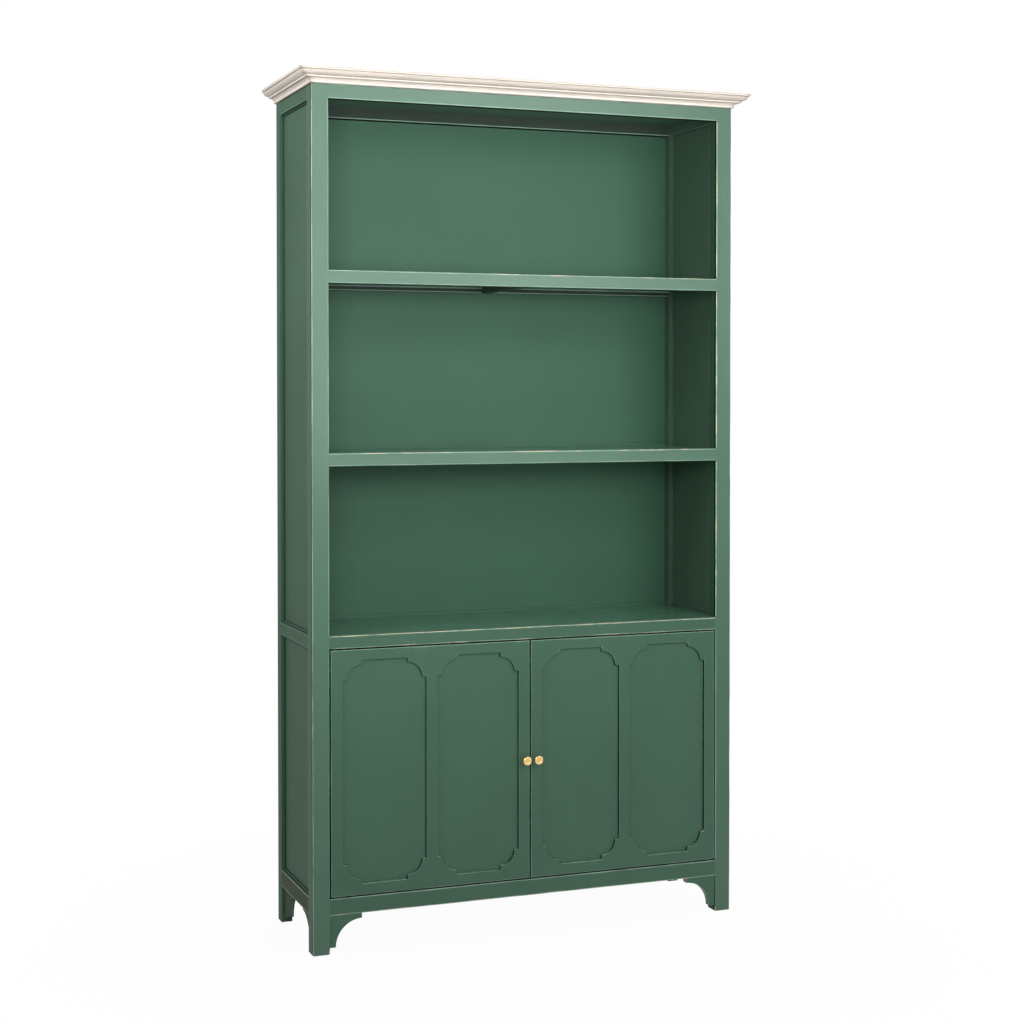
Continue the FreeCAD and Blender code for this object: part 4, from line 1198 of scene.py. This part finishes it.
# -------------------------------------------------------------------------- brackets
@dataclass
class Brackets:
    """Corner brackets with a concave quarter round under the front and side rails."""

    leg: float = 16 * MM
    thickness: float = 22 * MM
    ease: float = 1.1 * MM
    lap: float = 1.2 * MM
    arc_points: int = 26
    free_wear: float = 0.5
    rail_wear: float = 1.45
    # painted shade on the bracket's narrow faces
    inner_soil: float = 0.4

    def outline(self, width: float, height: float) -> Array:
        """Trace the bracket from the inner corner, along the rail and down the post.

        Args:
            width: reach along the rail.
            height: reach down the post.

        Returns:
            Points as the way along the rail and the drop, against the clock seen with
            the drop pointing down.
        """
        radius = width - self.leg
        sweep = arc((width, height), (radius, radius), (-90, -180), self.arc_points)
        straight = np.array([[0, 0], [width / 2, 0], [width, 0]])
        return np.concatenate([straight, sweep, [[0, height], [0, height / 2]]])

    def shell(self, skin: Skin, corner: Array, along: Array, through: Array, size: Span) -> None:
        """Add one bracket: its outline carried through its thickness.

        Near each face the outline is drawn in by e(1 - sin t) while the depth is
        e(1 - cos t), which rounds the arrises.

        Args:
            skin: the skin that takes it.
            corner: the inner corner of post and rail, on the outer face.
            along, through: unit directions along the rail and into its thickness.
            size: the bracket's width and height.
        """
        loop = self.outline(*size)
        mitre = drawing_in(loop)[2]
        drawn, sunk = rounding(self.ease)
        inset = np.concatenate([[self.ease + self.lap], drawn])
        depth = np.concatenate([[0], sunk])
        inset = np.concatenate([inset, inset[::-1]])
        depth = np.concatenate([depth, self.thickness - depth[::-1]])
        flat = loop[None] + inset[:, None, None] * mitre[None]
        down = np.array([0, 0, -1.0])
        points = corner + flat[..., :1] * along + flat[..., 1:] * down + depth[:, None, None] * through
        at_post, at_rail = (loop.T < WELD).astype(float)
        rounded = (inset < self.ease).astype(float)[:, None]
        across = (inset < 0.1 * self.ease).astype(float)[:, None]
        free = (1 - np.maximum(at_post, at_rail))[None]
        # painted shade on the narrow faces, the curved underside included, and a dark joint line at the post
        skin.capped(points, rub=rounded * (free * self.free_wear + at_rail[None] * self.rail_wear),
                    soil=rounded * (at_post * (1 - at_rail))[None] + across * self.inner_soil)

    def build_front(self, paint: bpy.types.Material) -> None:
        """Build the two brackets under the front rail.

        Args:
            paint: the finish.
        """
        for side in Side:
            node = side.name_of("front_bracket")
            low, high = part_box(node)
            skin = Skin()
            corner = np.array([side.value * max(abs(low.x), abs(high.x)), low.y, high.z])
            self.shell(skin, corner, np.array([-side.value, 0, 0]), np.array([0, 1.0, 0]),
                       (high.x - low.x, high.z - low.z))
            settle(skin.piece(node + "_shaped"), "carcass", Slot.SAGE, paint, node)

    def build_sides(self, paint: bpy.types.Material) -> None:
        """Build the pair of brackets under each side rail, as large as the front ones.

        Args:
            paint: the finish.
        """
        left, right = span("right_front_bracket", "x")
        bottom, top = span("right_front_bracket", "z")
        for side in Side:
            node = side.name_of("side_brackets")
            low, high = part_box(node)
            outer = side.value * max(abs(low.x), abs(high.x))
            skin = Skin()
            for y, way in ((low.y, 1.0), (high.y, -1.0)):
                self.shell(skin, np.array([outer, y, high.z]), np.array([0, way, 0]),
                           np.array([-side.value, 0, 0]), (right - left, top - bottom))
            settle(skin.piece(node + "_shaped"), "carcass", Slot.SAGE, paint, node)


# ----------------------------------------------------------------------- panel beads
@dataclass
class PanelBeads:
    """Mitred bead strips round the side panels: a rounded section along each edge."""

    width: float = 6 * MM
    depth: float = 5 * MM
    sample: float = 0.7 * MM
    ring_step: float = 20 * MM
    drift_step: float = 40 * MM
    arris_reach: float = 1.2 * MM
    joint: float = 0.8 * MM
    wear: Span = (0.15, 0.5)
    joint_soil: float = 0.9
    top_strip: int = 2
    # painted shadow on the top strip, under the top rail
    top_soil: float = 0.5

    def section(self) -> Array:
        """Return the strip's section, as the way in from the frame and the way out."""
        corners = np.array([[0, 0], [0, self.depth], [self.width, self.depth], [self.width, 0]])
        return eased_line(corners, self.sample, 3)

    def strip(self, skin: Skin, start: Array, finish: Array, outwards: Array, number: int) -> None:
        """Add one strip: at share s of an edge it is the straight mix of its two ends.

        Args:
            skin: the skin that takes it.
            start, finish: the section at both ends, in y and z.
            outwards: x of the section's points.
            number: the strip's number round its panel, from the lowest one.
        """
        section = self.section()
        rub = nearness(section, np.array([[self.width, self.depth], [0, self.depth]]), self.arris_reach)
        run = np.linalg.norm(finish[0] - start[0])
        trim = HAIRLINE / run
        shares = stepped(trim, 1 - trim, self.ring_step / run)[:, None, None]
        plane = start[None] * (1 - shares) + finish[None] * shares
        points = np.concatenate([np.broadcast_to(outwards[:, None], (*plane.shape[:2], 1)), plane], 2)
        worn = between(self.wear, wander(shares[:, 0, 0] * run, self.drift_step, 900 + number))
        joint = section.min(axis=1) < self.joint
        # painted shadow on the top strip, under the top rail
        shaded = self.top_soil if number == self.top_strip else 0.0
        skin.capped(points, rub=rub[None] * worn[:, None], soil=np.maximum(joint * self.joint_soil, shaded))

    def build(self, paint: bpy.types.Material) -> None:
        """Build the sixteen strips as one piece, mitred by drawing in along both axes.

        Args:
            paint: the finish.
        """
        front = span("right_front_post", "y")[1]
        back = span("right_back_post", "y")[0]
        top, middle, bottom = (span(Side.RIGHT.name_of(rail), "z") for rail in SIDE_RAILS)
        section = self.section()
        outwards = span("right_upper_panel", "x")[1] + section[:, 1]
        ways = np.array([[1, 1], [-1, 1], [-1, -1], [1, -1]])
        skin = Skin()
        for side, (low, high) in product(Side, [(bottom[1], middle[0]), (middle[1], top[0])]):
            ring = np.array([[front, low], [back, low], [back, high], [front, high]])
            ends = ring[:, None] + section[None, :, :1] * ways[:, None]
            for number, start in enumerate(ends):
                self.strip(skin, start, ends[(number + 1) % len(ends)], side.value * outwards, number)
        settle(skin.piece("side_panel_bead_strips"), "carcass", Slot.SAGE, paint, "side_panel_beads")


# ----------------------------------------------------------------------------- doors
@dataclass(frozen=True)
class Cell:
    """One sunk field of a door and the ground round it, measured from the field's middle.

    The box and the outer sides have the low sides in their first row and the high ones
    in their second, each in x and z.  An outer side of 1 is the door's own edge.
    """

    middle: Array
    half: Array
    box: Array
    outer: Array
    front: float
    back: float
    seed: int

    def drawn_in(self, border: Array, inset: float) -> Array:
        """Return border points drawn in from the door's own edges."""
        low, high = self.box + inset * self.outer * [[1], [-1]]
        return np.clip(border, low, high)

    def own_edges(self, border: Array) -> Array:
        """Return the numbers of the border points on the door's own edges, in turn.

        Args:
            border: the border's points, which run round the field in turn.

        Returns:
            The numbers of the points.
        """
        low = (border < self.box[0] + WELD) & (self.outer[0] > 0)
        high = (border > self.box[1] - WELD) & (self.outer[1] > 0)
        own = (low | high).any(axis=1)
        first = np.flatnonzero(own & ~np.roll(own, 1))[0]
        return (first + np.arange(own.sum())) % len(border)

    def laid(self, plane: Array, levels: Array) -> Array:
        """Return rows of x and z places as points, each row at its y level.

        Args:
            plane: rows of places from the field's middle.
            levels: the y of each row.

        Returns:
            Rows by columns by three.
        """
        placed_rows = plane + self.middle
        depth = np.broadcast_to(levels[:, None], plane.shape[:2])
        return np.stack([placed_rows[..., 0], depth, placed_rows[..., 1]], 2)


@dataclass
class DoorFace:
    """A door's pierced face: two sunk fields with stepped round corners."""

    stile: float = 31 * MM
    margin: float = 28.5 * MM
    step: float = 11.5 * MM
    radius: float = 38.5 * MM
    field_ease: float = 1.0 * MM
    field_lap: float = 0.8 * MM
    edge_ease: float = 1.5 * MM
    edge_lap: float = 1.0 * MM
    plate_proud: float = 0.1 * MM
    fields: int = 2
    upright_points: int = 50
    level_points: int = 16
    step_points: int = 6
    arc_points: int = 19
    wear: Span = (0.1, 0.25)
    # strength of the painted highlight on the sill, lit from above
    sill_highlight: float = 0.6
    # strength of the painted shadow under the top edge of a field
    under_soil: float = 0.9
    # extra painted shade on the top walls, which face down
    upper_soil: float = 0.8
    # pale line on the door's edges: wear and painted highlight
    edge_wear_and_highlight: Span = (0.5, 0.7)
    # extra painted highlight on the top edge, lit from above
    top_edge_highlight: float = 0.25
    chips_from: float = 0.6
    chips_rise: float = 3.0
    tip_reach: float = 3.5 * MM
    pace: float = 3 * MM
    drift_step: float = 30 * MM
    edge_pace: float = 6 * MM
    edge_drift_step: float = 45 * MM

    # over eight rows: the wall's back, the five of its arris, the ground and its border
    RUBBED = np.array([0, 0.5, 1, 1, 1, 0.6, 0.15, 0])[:, None]
    # painted highlight on the sill rows, lit from above
    SILL_HIGHLIGHT = np.array([1, 1, 1, 1, 0.6, 0, 0, 0])[:, None]
    # painted highlight beside the shaded walls that look left
    HIGHLIGHT_BESIDE_WALL = np.array([0, 0, 0, 0, 0.2, 0.5, 0.2, 0])[:, None]
    # painted shade on walls that look left and under the top edges
    SHADED = np.array([1, 1, 1, 0.9, 0.45, 0, 0, 0])[:, None]
    # painted shade on the wall rows
    SHADED_WALL = np.array([1, 1, 0, 0, 0, 0, 0, 0])[:, None]
    # over seven rows: the ground, the five of the door's arris and the edge's back
    # wear and painted highlight on the door's own arris
    EDGE_RUBBED = np.array([0.4, 1, 1, 0.5, 0, 0, 0])[:, None]
    # painted shade on the door's edge, in the gap
    EDGE_SHADE = np.array([0, 0, 0.1, 0.8, 1, 1, 1])[:, None]

    def quadrant(self, half_x: float, half_z: float) -> Array:
        """Trace one corner of a field, clockwise from its top side to its right side.

        Args:
            half_x, half_z: half the field's sizes.

        Returns:
            The points: a step down, a quarter round and a step out.
        """
        arc_x = half_x - self.step - self.radius
        arc_z = half_z - self.step - self.radius
        shares = np.linspace(0, 1, self.step_points)[:, None]
        down = np.array([arc_x, half_z]) - shares[:-1] * np.array([0, self.step])
        round_part = arc((arc_x, arc_z), (self.radius, self.radius), (90, 0), self.arc_points)
        out = np.array([half_x - self.step, arc_z]) + shares[1:] * np.array([self.step, 0])
        return np.concatenate([down, round_part, out])

    def rings(self, cell: Cell) -> tuple[Array, Array]:
        """Trace a whole field and the matching points of its cell's border.

        Args:
            cell: the field and its ground.

        Returns:
            The field's outline and the border's points.
        """
        corner = self.quadrant(*cell.half)
        shares = np.linspace(0, 1, len(corner) // 2 + 1)[:, None]
        flips = np.array([(1, 1), (1, -1), (-1, -1), (-1, 1)])
        outline, border = [], []
        for number, flip in enumerate(flips):
            path = corner * flip
            rim = np.where(flip > 0, cell.box[1], cell.box[0])
            above = np.array([path[0, 0], rim[1]])
            beside = np.array([rim[0], path[-1, 1]])
            around = np.concatenate([above + shares * (rim - above), rim + shares[1:] * (beside - rim)])
            following = corner * flips[(number + 1) % 4]
            target, steps = following[-1], self.upright_points
            axis = number % 2
            if axis:
                path, around = path[::-1], around[::-1]
                target, steps = following[0], self.level_points
            run = np.linspace(0, 1, steps + 2)[1:-1, None]
            straight = path[-1] + run * (target - path[-1])
            facing = straight.copy()
            facing[:, axis] = rim[axis]
            outline += [path, straight]
            border += [around, facing]
        return np.concatenate(outline), np.concatenate(border)

    def add_field(self, skin: Skin, cell: Cell, outline: Array, border: Array, side: Side) -> None:
        """Add a field's wall, the rounded arris over it and the ground up to the border.

        Args:
            skin: the skin that takes it.
            cell: the field and its ground.
            outline: the field's outline.
            border: the matching points of the border.
            side: the door's side, which tells the walls that look left.
        """
        before, normal, mitre = drawing_in(outline)
        sunk, drawn = rounding(self.field_ease)
        offsets = np.concatenate([[0], drawn, [self.field_ease + self.field_lap]])
        levels = np.concatenate([[cell.back], cell.front + sunk, [cell.front, cell.front]])
        plane = outline[None] + offsets[:, None, None] * mitre[None]
        plane = np.concatenate([plane, cell.drawn_in(border, self.edge_ease + self.edge_lap)[None]])

        turned = 1 - np.sum(normal * before, axis=1)
        convex = before[:, 0] * normal[:, 1] < before[:, 1] * normal[:, 0]
        tips = nearness(outline, outline[convex & (turned > 0.5)], self.tip_reach)
        places = np.arange(len(outline)) * self.pace
        drift = wander(places, self.drift_step, cell.seed)
        chips = (self.chips_rise * (drift - self.chips_from)).clip(0, 1)
        strength = between(self.wear, wander(places, self.drift_step, cell.seed + 2)) + tips * chips
        # painted highlight on the sills and beside walls that look left; painted shade on those walls, under
        # top edges and on all walls
        facing, upwards = (side.value * normal[:, 0]).clip(0), normal[:, 1]
        lit_sill, shadow_under_top = self.sill_highlight * (-upwards).clip(0) ** 3, self.under_soil * upwards.clip(0) ** 3
        wall_shade = (np.abs(normal[:, 0]) + self.upper_soil * upwards).clip(0, 1)
        skin.grid(cell.laid(plane, levels), wrap=True,
                  rub=self.RUBBED * strength + self.SILL_HIGHLIGHT * lit_sill + self.HIGHLIGHT_BESIDE_WALL * facing,
                  soil=self.SHADED * (facing + shadow_under_top) + self.SHADED_WALL * wall_shade)

    def add_edge(self, skin: Skin, cell: Cell, border: Array) -> None:
        """Add the rounded arris and the edge where a cell ends at the door's own edges.

        Args:
            skin: the skin that takes it.
            cell: the field and its ground.
            border: the border's points.
        """
        drawn, sunk = rounding(self.edge_ease)
        insets = np.concatenate([[self.edge_ease + self.edge_lap], drawn, [0]])
        levels = np.concatenate([[cell.front], cell.front + sunk, [cell.back]])
        order = cell.own_edges(border)
        rows = np.stack([cell.drawn_in(border, inset)[order] for inset in insets])
        at_top = np.abs(border[order, 1] - cell.box[1, 1]) < WELD
        places = np.arange(len(order)) * self.edge_pace
        # wear and painted highlight, stronger on the top edge
        worn = self.top_edge_highlight * at_top + between(
            self.edge_wear_and_highlight, wander(places, self.edge_drift_step, cell.seed + 1))
        skin.grid(cell.laid(rows, levels), rub=self.EDGE_RUBBED * worn, soil=self.EDGE_SHADE)

    def build(self, side: Side, paint: bpy.types.Material) -> None:
        """Build the face of one door: its cells in turn, then mirrored for the left door.

        Args:
            side: the door's side.
            paint: the finish.
        """
        node = side.name_of("door_face")
        low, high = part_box(node)
        near, far = sorted((abs(low.x), abs(high.x)))
        bottom, top = low.z + self.plate_proud, high.z - self.plate_proud
        pitch = (far - near - self.stile) / self.fields
        half = np.array([(pitch - self.stile) / 2, (high.z - low.z) / 2 - self.margin])
        skin = Skin()
        for number in range(self.fields):
            start = near + self.stile + number * pitch
            middle = np.array([start + half[0], (low.z + high.z) / 2])
            first, last = number == 0, number == self.fields - 1
            x_low = near if first else start - self.stile / 2
            x_high = far if last else start + 2 * half[0] + self.stile / 2
            cell = Cell(middle, half, np.array([[x_low, bottom], [x_high, top]]) - middle,
                        np.array([[first, 1.0], [last, 1.0]]), low.y, high.y,
                        500 + 10 * number + side.value)
            outline, border = self.rings(cell)
            self.add_field(skin, cell, outline, border, side)
            self.add_edge(skin, cell, border)
            skin.grid(cell.laid(np.stack([outline, border]), np.array([cell.back] * 2)), wrap=True)
        if side is Side.LEFT:
            for points in skin.points:
                points[:, 0] *= -1
        settle(skin.piece(node + "_shaped"), side.door, Slot.SAGE, paint, node)


@dataclass
class Knob:
    """A turned knob with a rounded rim and a sunk disc in its head."""

    neck: float = 5 * MM
    head: float = 9 * MM
    bevel: float = 2 * MM
    disc: tuple[float, float] = (5.7 * MM, 1.7 * MM)
    sample: float = 0.3 * MM
    around: int = 64

    def profile(self, radius: float, projection: float) -> Array:
        """Return the half section as radius and projection, from the head's middle to the door.

        Args:
            radius: the head's radius.
            projection: how far the head stands off the door.

        Returns:
            The points of the section, with its corners rounded.
        """
        disc, sink = self.disc
        head_back = projection - self.head
        corners = np.array([
            [0, projection - sink + 0.35 * MM], [disc * 0.6, projection - sink + 0.25 * MM],
            [disc - 0.3 * MM, projection - sink], [disc + 0.5 * MM, projection - 0.2 * MM],
            [disc + 1.2 * MM, projection], [radius - self.bevel, projection - 0.1 * MM],
            [radius - 0.25 * MM, projection - self.bevel], [radius, projection - 0.4 * self.head],
            [radius - 0.3 * MM, head_back + self.bevel], [radius - self.bevel, head_back + 0.3 * MM],
            [self.neck + 1.2 * MM, head_back], [self.neck, head_back - 1.6 * MM],
            [self.neck, 0], [0, 0]])
        return eased_line(corners, self.sample, 3)

    def build(self, side: Side, metal: Metal) -> None:
        """Turn the profile about the knob's axis: x = r cos a, z = r sin a, y = -p.

        Args:
            side: the door's side.
            metal: the knob's metal.
        """
        node = side.name_of("knob")
        low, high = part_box(node)
        centre = (low + high) / 2
        profile = self.profile((high.x - low.x) / 2, high.y - low.y)
        angle = np.linspace(0, 2 * np.pi, self.around, endpoint=False)[None]
        radius = profile[:, :1]
        points = np.stack([centre.x + radius * np.cos(angle),
                           high.y - profile[:, 1:] + 0 * angle,
                           centre.z + radius * np.sin(angle)], 2)
        skin = Skin()
        skin.grid(points, wrap=True)
        brass = metal.material(side.name_of("knob_brass"), (centre.x, 0.0, centre.z))
        settle(skin.piece(node + "_turned"), side.door, Slot.BRASS, brass, node)


# --------------------------------------------------------------------- carried nodes
@dataclass(frozen=True)
class Finishes:
    """All the finishes of the bookcase."""

    posts: Paint = Paint()
    doors: Paint = Paint(body=srgb(62, 98, 78), coat=0.55)
    # lighter copy of the sage paint: painted light for the deck top, which the lamps leave dark
    boards: Paint = Paint(body=srgb(86, 130, 106), coat=1.0, coat_ior=1.7, coat_roughness=0.25)
    backs: Paint = Paint(body=srgb(61, 98, 78), coat=0.3, coat_roughness=0.55, mottle=0.1)
    sides: Paint = Paint(body=srgb(70, 96, 79), coat=0.0, gloss=0.05)
    # darker copy of the sage paint: painted shade for the beads in their recess
    beads: Paint = Paint(body=srgb(38, 70, 55), coat=0.2)
    low: Paint = Paint(body=srgb(56, 68, 50), coat=0.0, gloss=0.05, mottle=0.25)
    dim: Paint = Paint(body=srgb(52, 64, 57), coat=0.1, mottle=0.3)
    crown: Limewash = Limewash()
    brass: Metal = Metal(srgb(228, 197, 138), srgb(190, 156, 102), 0.24)
    zinc: Metal = Metal(srgb(186, 188, 190), srgb(128, 126, 122), 0.34)
    black_oxide: Metal = Metal(srgb(58, 54, 50), srgb(38, 34, 31), 0.42)
    catch: Plastic = Plastic()


@dataclass
class CarriedNodes:
    """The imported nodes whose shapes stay: they only take a finish."""

    finishes: Finishes

    def dress(self, node: str, material: bpy.types.Material) -> None:
        """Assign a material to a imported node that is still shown.

        Args:
            node: the node's name.
            material: its finish.
        """
        shown = frame["nodes"][node]
        if shown.hide_render:
            return
        shown.data.materials.clear()
        shown.data.materials.append(material)
        LOG.info("%s: finished with %s", node, material.name)

    def timbers(self) -> None:
        """Finish the back posts and the side and back rails, which wear at their arrises."""
        under_crown = span("front_crown", "z")[0]
        for side in Side:
            node = side.name_of("back_post")
            edges = BoxEdges(node, strength=0.25)
            self.dress(node, self.finishes.sides.material(node + "_paint", Grain.Z, edges))
            top, middle, bottom = (side.name_of(rail) for rail in SIDE_RAILS)
            hidden = span(top, "z")[1] - under_crown
            # the side top rail carries a painted shadow under the crown
            for node, finish, edges in (
                    (top, self.finishes.sides,
                     BoxEdges(top, strength=0.6, shadow_under_cover=6 * MM, covered=hidden)),
                    (middle, self.finishes.sides, BoxEdges(middle, strength=0.6)),
                    (bottom, self.finishes.low, BoxEdges(bottom, strength=1.05))):
                self.dress(node, finish.material(node + "_paint", Grain.Y, edges))
        for node in ("back_top_rail", "back_deck_rail", "back_bottom_rail", "lower_shelf_back_rail",
                     "upper_shelf_back_rail"):
            # painted shade on the undersides of the back rails
            edges = BoxEdges(node, reach=6 * MM, strength=0.9, shade_underneath=0.6 * MM)
            self.dress(node, self.finishes.dim.material(node + "_paint", Grain.X, edges))

    def boards(self) -> None:
        """Finish boards, battens and strips, with the brush strokes along each."""
        # the boards take a lighter copy of the sage paint as painted light
        across = self.finishes.boards.material("board_paint", Grain.X, Edges())
        upright = self.finishes.backs.material("panel_paint", Grain.Z, Edges())
        beside = self.finishes.sides.material("side_panel_paint", Grain.Z, Edges())
        deep = self.finishes.sides.material("batten_paint", Grain.Y, Edges())
        for node in ("deck_board", "cabinet_floor", "cabinet_shelf", "lower_shelf_board",
                     "upper_shelf_board", "ceiling_panel"):
            self.dress(node, across)
        for node in ("upper_back_panel", "lower_back_panel", "shelf_back_strips"):
            self.dress(node, upright)
        for node in ("centre_battens", "cabinet_shelf_cleats"):
            self.dress(node, deep)
        for side in Side:
            for node in ("upper_panel", "lower_panel"):
                self.dress(side.name_of(node), beside)
            node = side.name_of("door_board")
            # the door boards' narrow edges are painted dark as shade in the door gaps
            self.dress(node, self.finishes.doors.material(node + "_paint", Grain.Z, GapShadedRims(node)))

    def crown_parts(self) -> None:
        """Finish the plain back member and the top panel of the crown."""
        wash = self.finishes.crown.material("crown_wash_plain", Grain.X)
        for node in ("back_crown", "top_panel"):
            self.dress(node, wash)

    def fittings(self) -> None:
        """Finish the steel and plastic fittings."""
        steel = self.finishes.zinc.material("zinc_plate")
        black = self.finishes.black_oxide.material("black_oxide")
        self.dress("frame_screws", steel)
        self.dress("frame_pivot_plates", black)
        for side in Side:
            self.dress(side.name_of("door_pivots"), black)
            for node in ("door_screws", "strike_plate"):
                self.dress(side.name_of(node), steel)
        self.dress("double_catch", self.finishes.catch.material("catch_plastic_brown"))


# ---------------------------------------------------------------------------- studio
@dataclass
class Lamp:
    """One soft rectangular lamp."""

    name: str
    place: Point
    aim: Point
    size: Span
    power: float
    spread: float = 180.0

    def build(self) -> None:
        """Add the lamp, turned to its aim."""
        data = bpy.data.lights.new(self.name, "AREA")
        data.shape = "RECTANGLE"
        data.size, data.size_y = self.size
        data.energy = self.power
        data.spread = math.radians(self.spread)
        made = placed(self.name, data)
        way = np.array(self.aim) - np.array(self.place)
        made.location = self.place
        made.rotation_euler = (math.atan2(math.hypot(way[0], way[1]), -way[2]), 0,
                               math.atan2(-way[0], way[1]))


@dataclass
class Studio:
    """A pale floor, a white surround, soft lamps and the camera."""

    lens: float = 64.71
    sensor: float = 36.0
    place: Point = (-1.7514, -4.5846, 1.4084)
    heading: float = -21.040
    tilt: float = 1.241
    rise: float = -0.08
    ambient: float = 0.15
    floor_half: float = 9.0
    floor_colour: Colour = srgb(240, 239, 236)
    shadow_share: float = 0.04
    shadow_reach: Span = (0.5, 1.6)

    def lamps(self) -> list[Lamp]:
        """Set out the lamps: small ones before the upper half, wide ones on the other sides.

        Returns:
            The lamps, each with its place, aim, size, power and spread.
        """
        near = (0.8, 0.6)
        return [
            Lamp("middle_high", (0.3, -2.4, 2.6), (0.1, -0.1, 2.4), near, 8.4),
            Lamp("right_low", (1.0, -2.4, 1.6), (0.3, -0.1, 1.6), near, 8.2),
            Lamp("right_middle", (1.0, -2.4, 2.1), (0.3, -0.1, 2.0), near, 5.1),
            Lamp("right_high", (1.0, -2.4, 2.6), (0.3, -0.1, 2.4), near, 8.6),
            Lamp("left_middle", (-1.4, -2.8, 1.8), (-0.3, 0.0, 1.9), near, 11.3, 90.0),
            Lamp("strip", (0.0, -3.2, 1.5), (0.0, 0.0, 1.9), (1.5, 0.8), 3.8, 60.0),
            Lamp("fill_low", (-2.2, -0.6, 1.9), (-0.5, 0.0, 1.7), (1.5, 1.0), 8.8),
            Lamp("fill_high", (-2.2, -0.6, 2.5), (-0.5, 0.0, 2.0), (1.5, 1.0), 19.3),
            Lamp("back", (1.5, 3.8, 2.6), (0.0, 0.2, 1.2), (2.4, 1.8), 65.0),
            Lamp("top", (0.0, 0.9, 3.4), (0.0, 0.1, 2.2), (1.2, 0.8), 6.0, 60.0),
            Lamp("right_side", (3.4, 0.3, 1.9), (0.6, 0.1, 1.4), (1.5, 1.5), 26.0, 80.0),
        ]

    def build_camera(self) -> None:
        """Add the camera: it looks down by the tilt, and its picture is shifted by the rise."""
        data = bpy.data.cameras.new("camera")
        data.lens = self.lens
        data.sensor_width = self.sensor
        data.shift_y = self.rise
        camera = placed("camera", data)
        camera.location = self.place
        camera.rotation_euler = (math.radians(90 - self.tilt), 0, math.radians(self.heading))
        bpy.context.scene.camera = camera

    @staticmethod
    def seen(graph: Graph) -> Num:
        """Return 1 where a surface is seen directly, mirrored or through glass, and 0 where it lights.

        Args:
            graph: the graph of the surround or of the floor.

        Returns:
            The value, 0 or 1.
        """
        path = graph.node("ShaderNodeLightPath", {}, {})
        camera, glossy, through = (Num(graph, path.outputs["Is %s Ray" % kind])
                                   for kind in ("Camera", "Glossy", "Transmission"))
        return camera.most(glossy).most(through)

    def build_world(self) -> None:
        """Make the surround white where it is seen or mirrored, and soft where it lights."""
        world = bpy.data.worlds.new("surround")
        bpy.context.scene.world = world
        world.use_nodes = True
        graph = Graph(world.node_tree)
        strength = self.seen(graph) * (1 - self.ambient) + self.ambient
        light = graph.node("ShaderNodeBackground", {}, {"Color": (1, 1, 1, 1), "Strength": strength})
        graph.node("ShaderNodeOutputWorld", {}, {"Surface": light.outputs[0]})

    def build_floor(self) -> None:
        """Lay the floor: where it is seen it is nearly white, but keeps part of the shadow."""
        half = self.floor_half
        mesh = bpy.data.meshes.new("floor")
        mesh.from_pydata([(-half, -half, 0), (half, -half, 0), (half, half, 0), (-half, half, 0)], [],
                         [(0, 1, 2, 3)])
        floor = placed("floor", mesh)
        material, graph = surface_material("floor_pale")
        x, y, _ = graph.axes(graph.place)
        near = 1 - (x * x + y * y).root().rise(*self.shadow_reach)
        plain = graph.node("ShaderNodeBsdfDiffuse", {}, {"Color": self.floor_colour})
        white = graph.node("ShaderNodeEmission", {}, {"Color": (1, 1, 1, 1), "Strength": 1.0})
        factor = self.seen(graph) * (1 - near * self.shadow_share)
        mixed = graph.node("ShaderNodeMixShader", {}, {0: factor, 1: plain.outputs[0], 2: white.outputs[0]})
        graph.show(mixed)
        mesh.materials.append(material)

    def build(self) -> None:
        """Set up the whole studio."""
        self.build_camera()
        self.build_world()
        self.build_floor()
        for lamp in self.lamps():
            lamp.build()
        bpy.context.scene.view_settings.view_transform = "Standard"


def main() -> None:
    """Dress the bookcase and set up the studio."""
    logging.basicConfig(level=logging.INFO, format="%(name)s: %(message)s")
    finishes = Finishes()

    Studio().build()
    front = FrontFrame()
    front.build_posts(finishes.posts.material("post_paint", Grain.Z, Edges()))
    low_rail_paint = finishes.doors.material("low_rail_paint", Grain.X, Edges())
    front.build_rails(finishes.posts.material("rail_paint", Grain.X, Edges()), low_rail_paint)
    crown = Crown()
    crown.build_front(finishes.crown.material("crown_wash_front", Grain.X))
    side_wash = finishes.crown.material("crown_wash_side", Grain.Y)
    brackets = Brackets()
    brackets.build_front(low_rail_paint)
    brackets.build_sides(finishes.low.material("side_bracket_paint", Grain.Y, Edges()))
    # the beads take a darker copy of the sage paint as painted shade
    PanelBeads().build(finishes.beads.material("bead_paint", Grain.Z, Edges()))
    face_paint = finishes.doors.material("door_paint", Grain.Z, Edges())
    for side in Side:
        crown.build_side(side, side_wash)
        DoorFace().build(side, face_paint)
        Knob().build(side, finishes.brass)
    carried = CarriedNodes(finishes)
    carried.timbers()
    carried.boards()
    carried.crown_parts()
    carried.fittings()


if __name__ == "__main__":
    main()
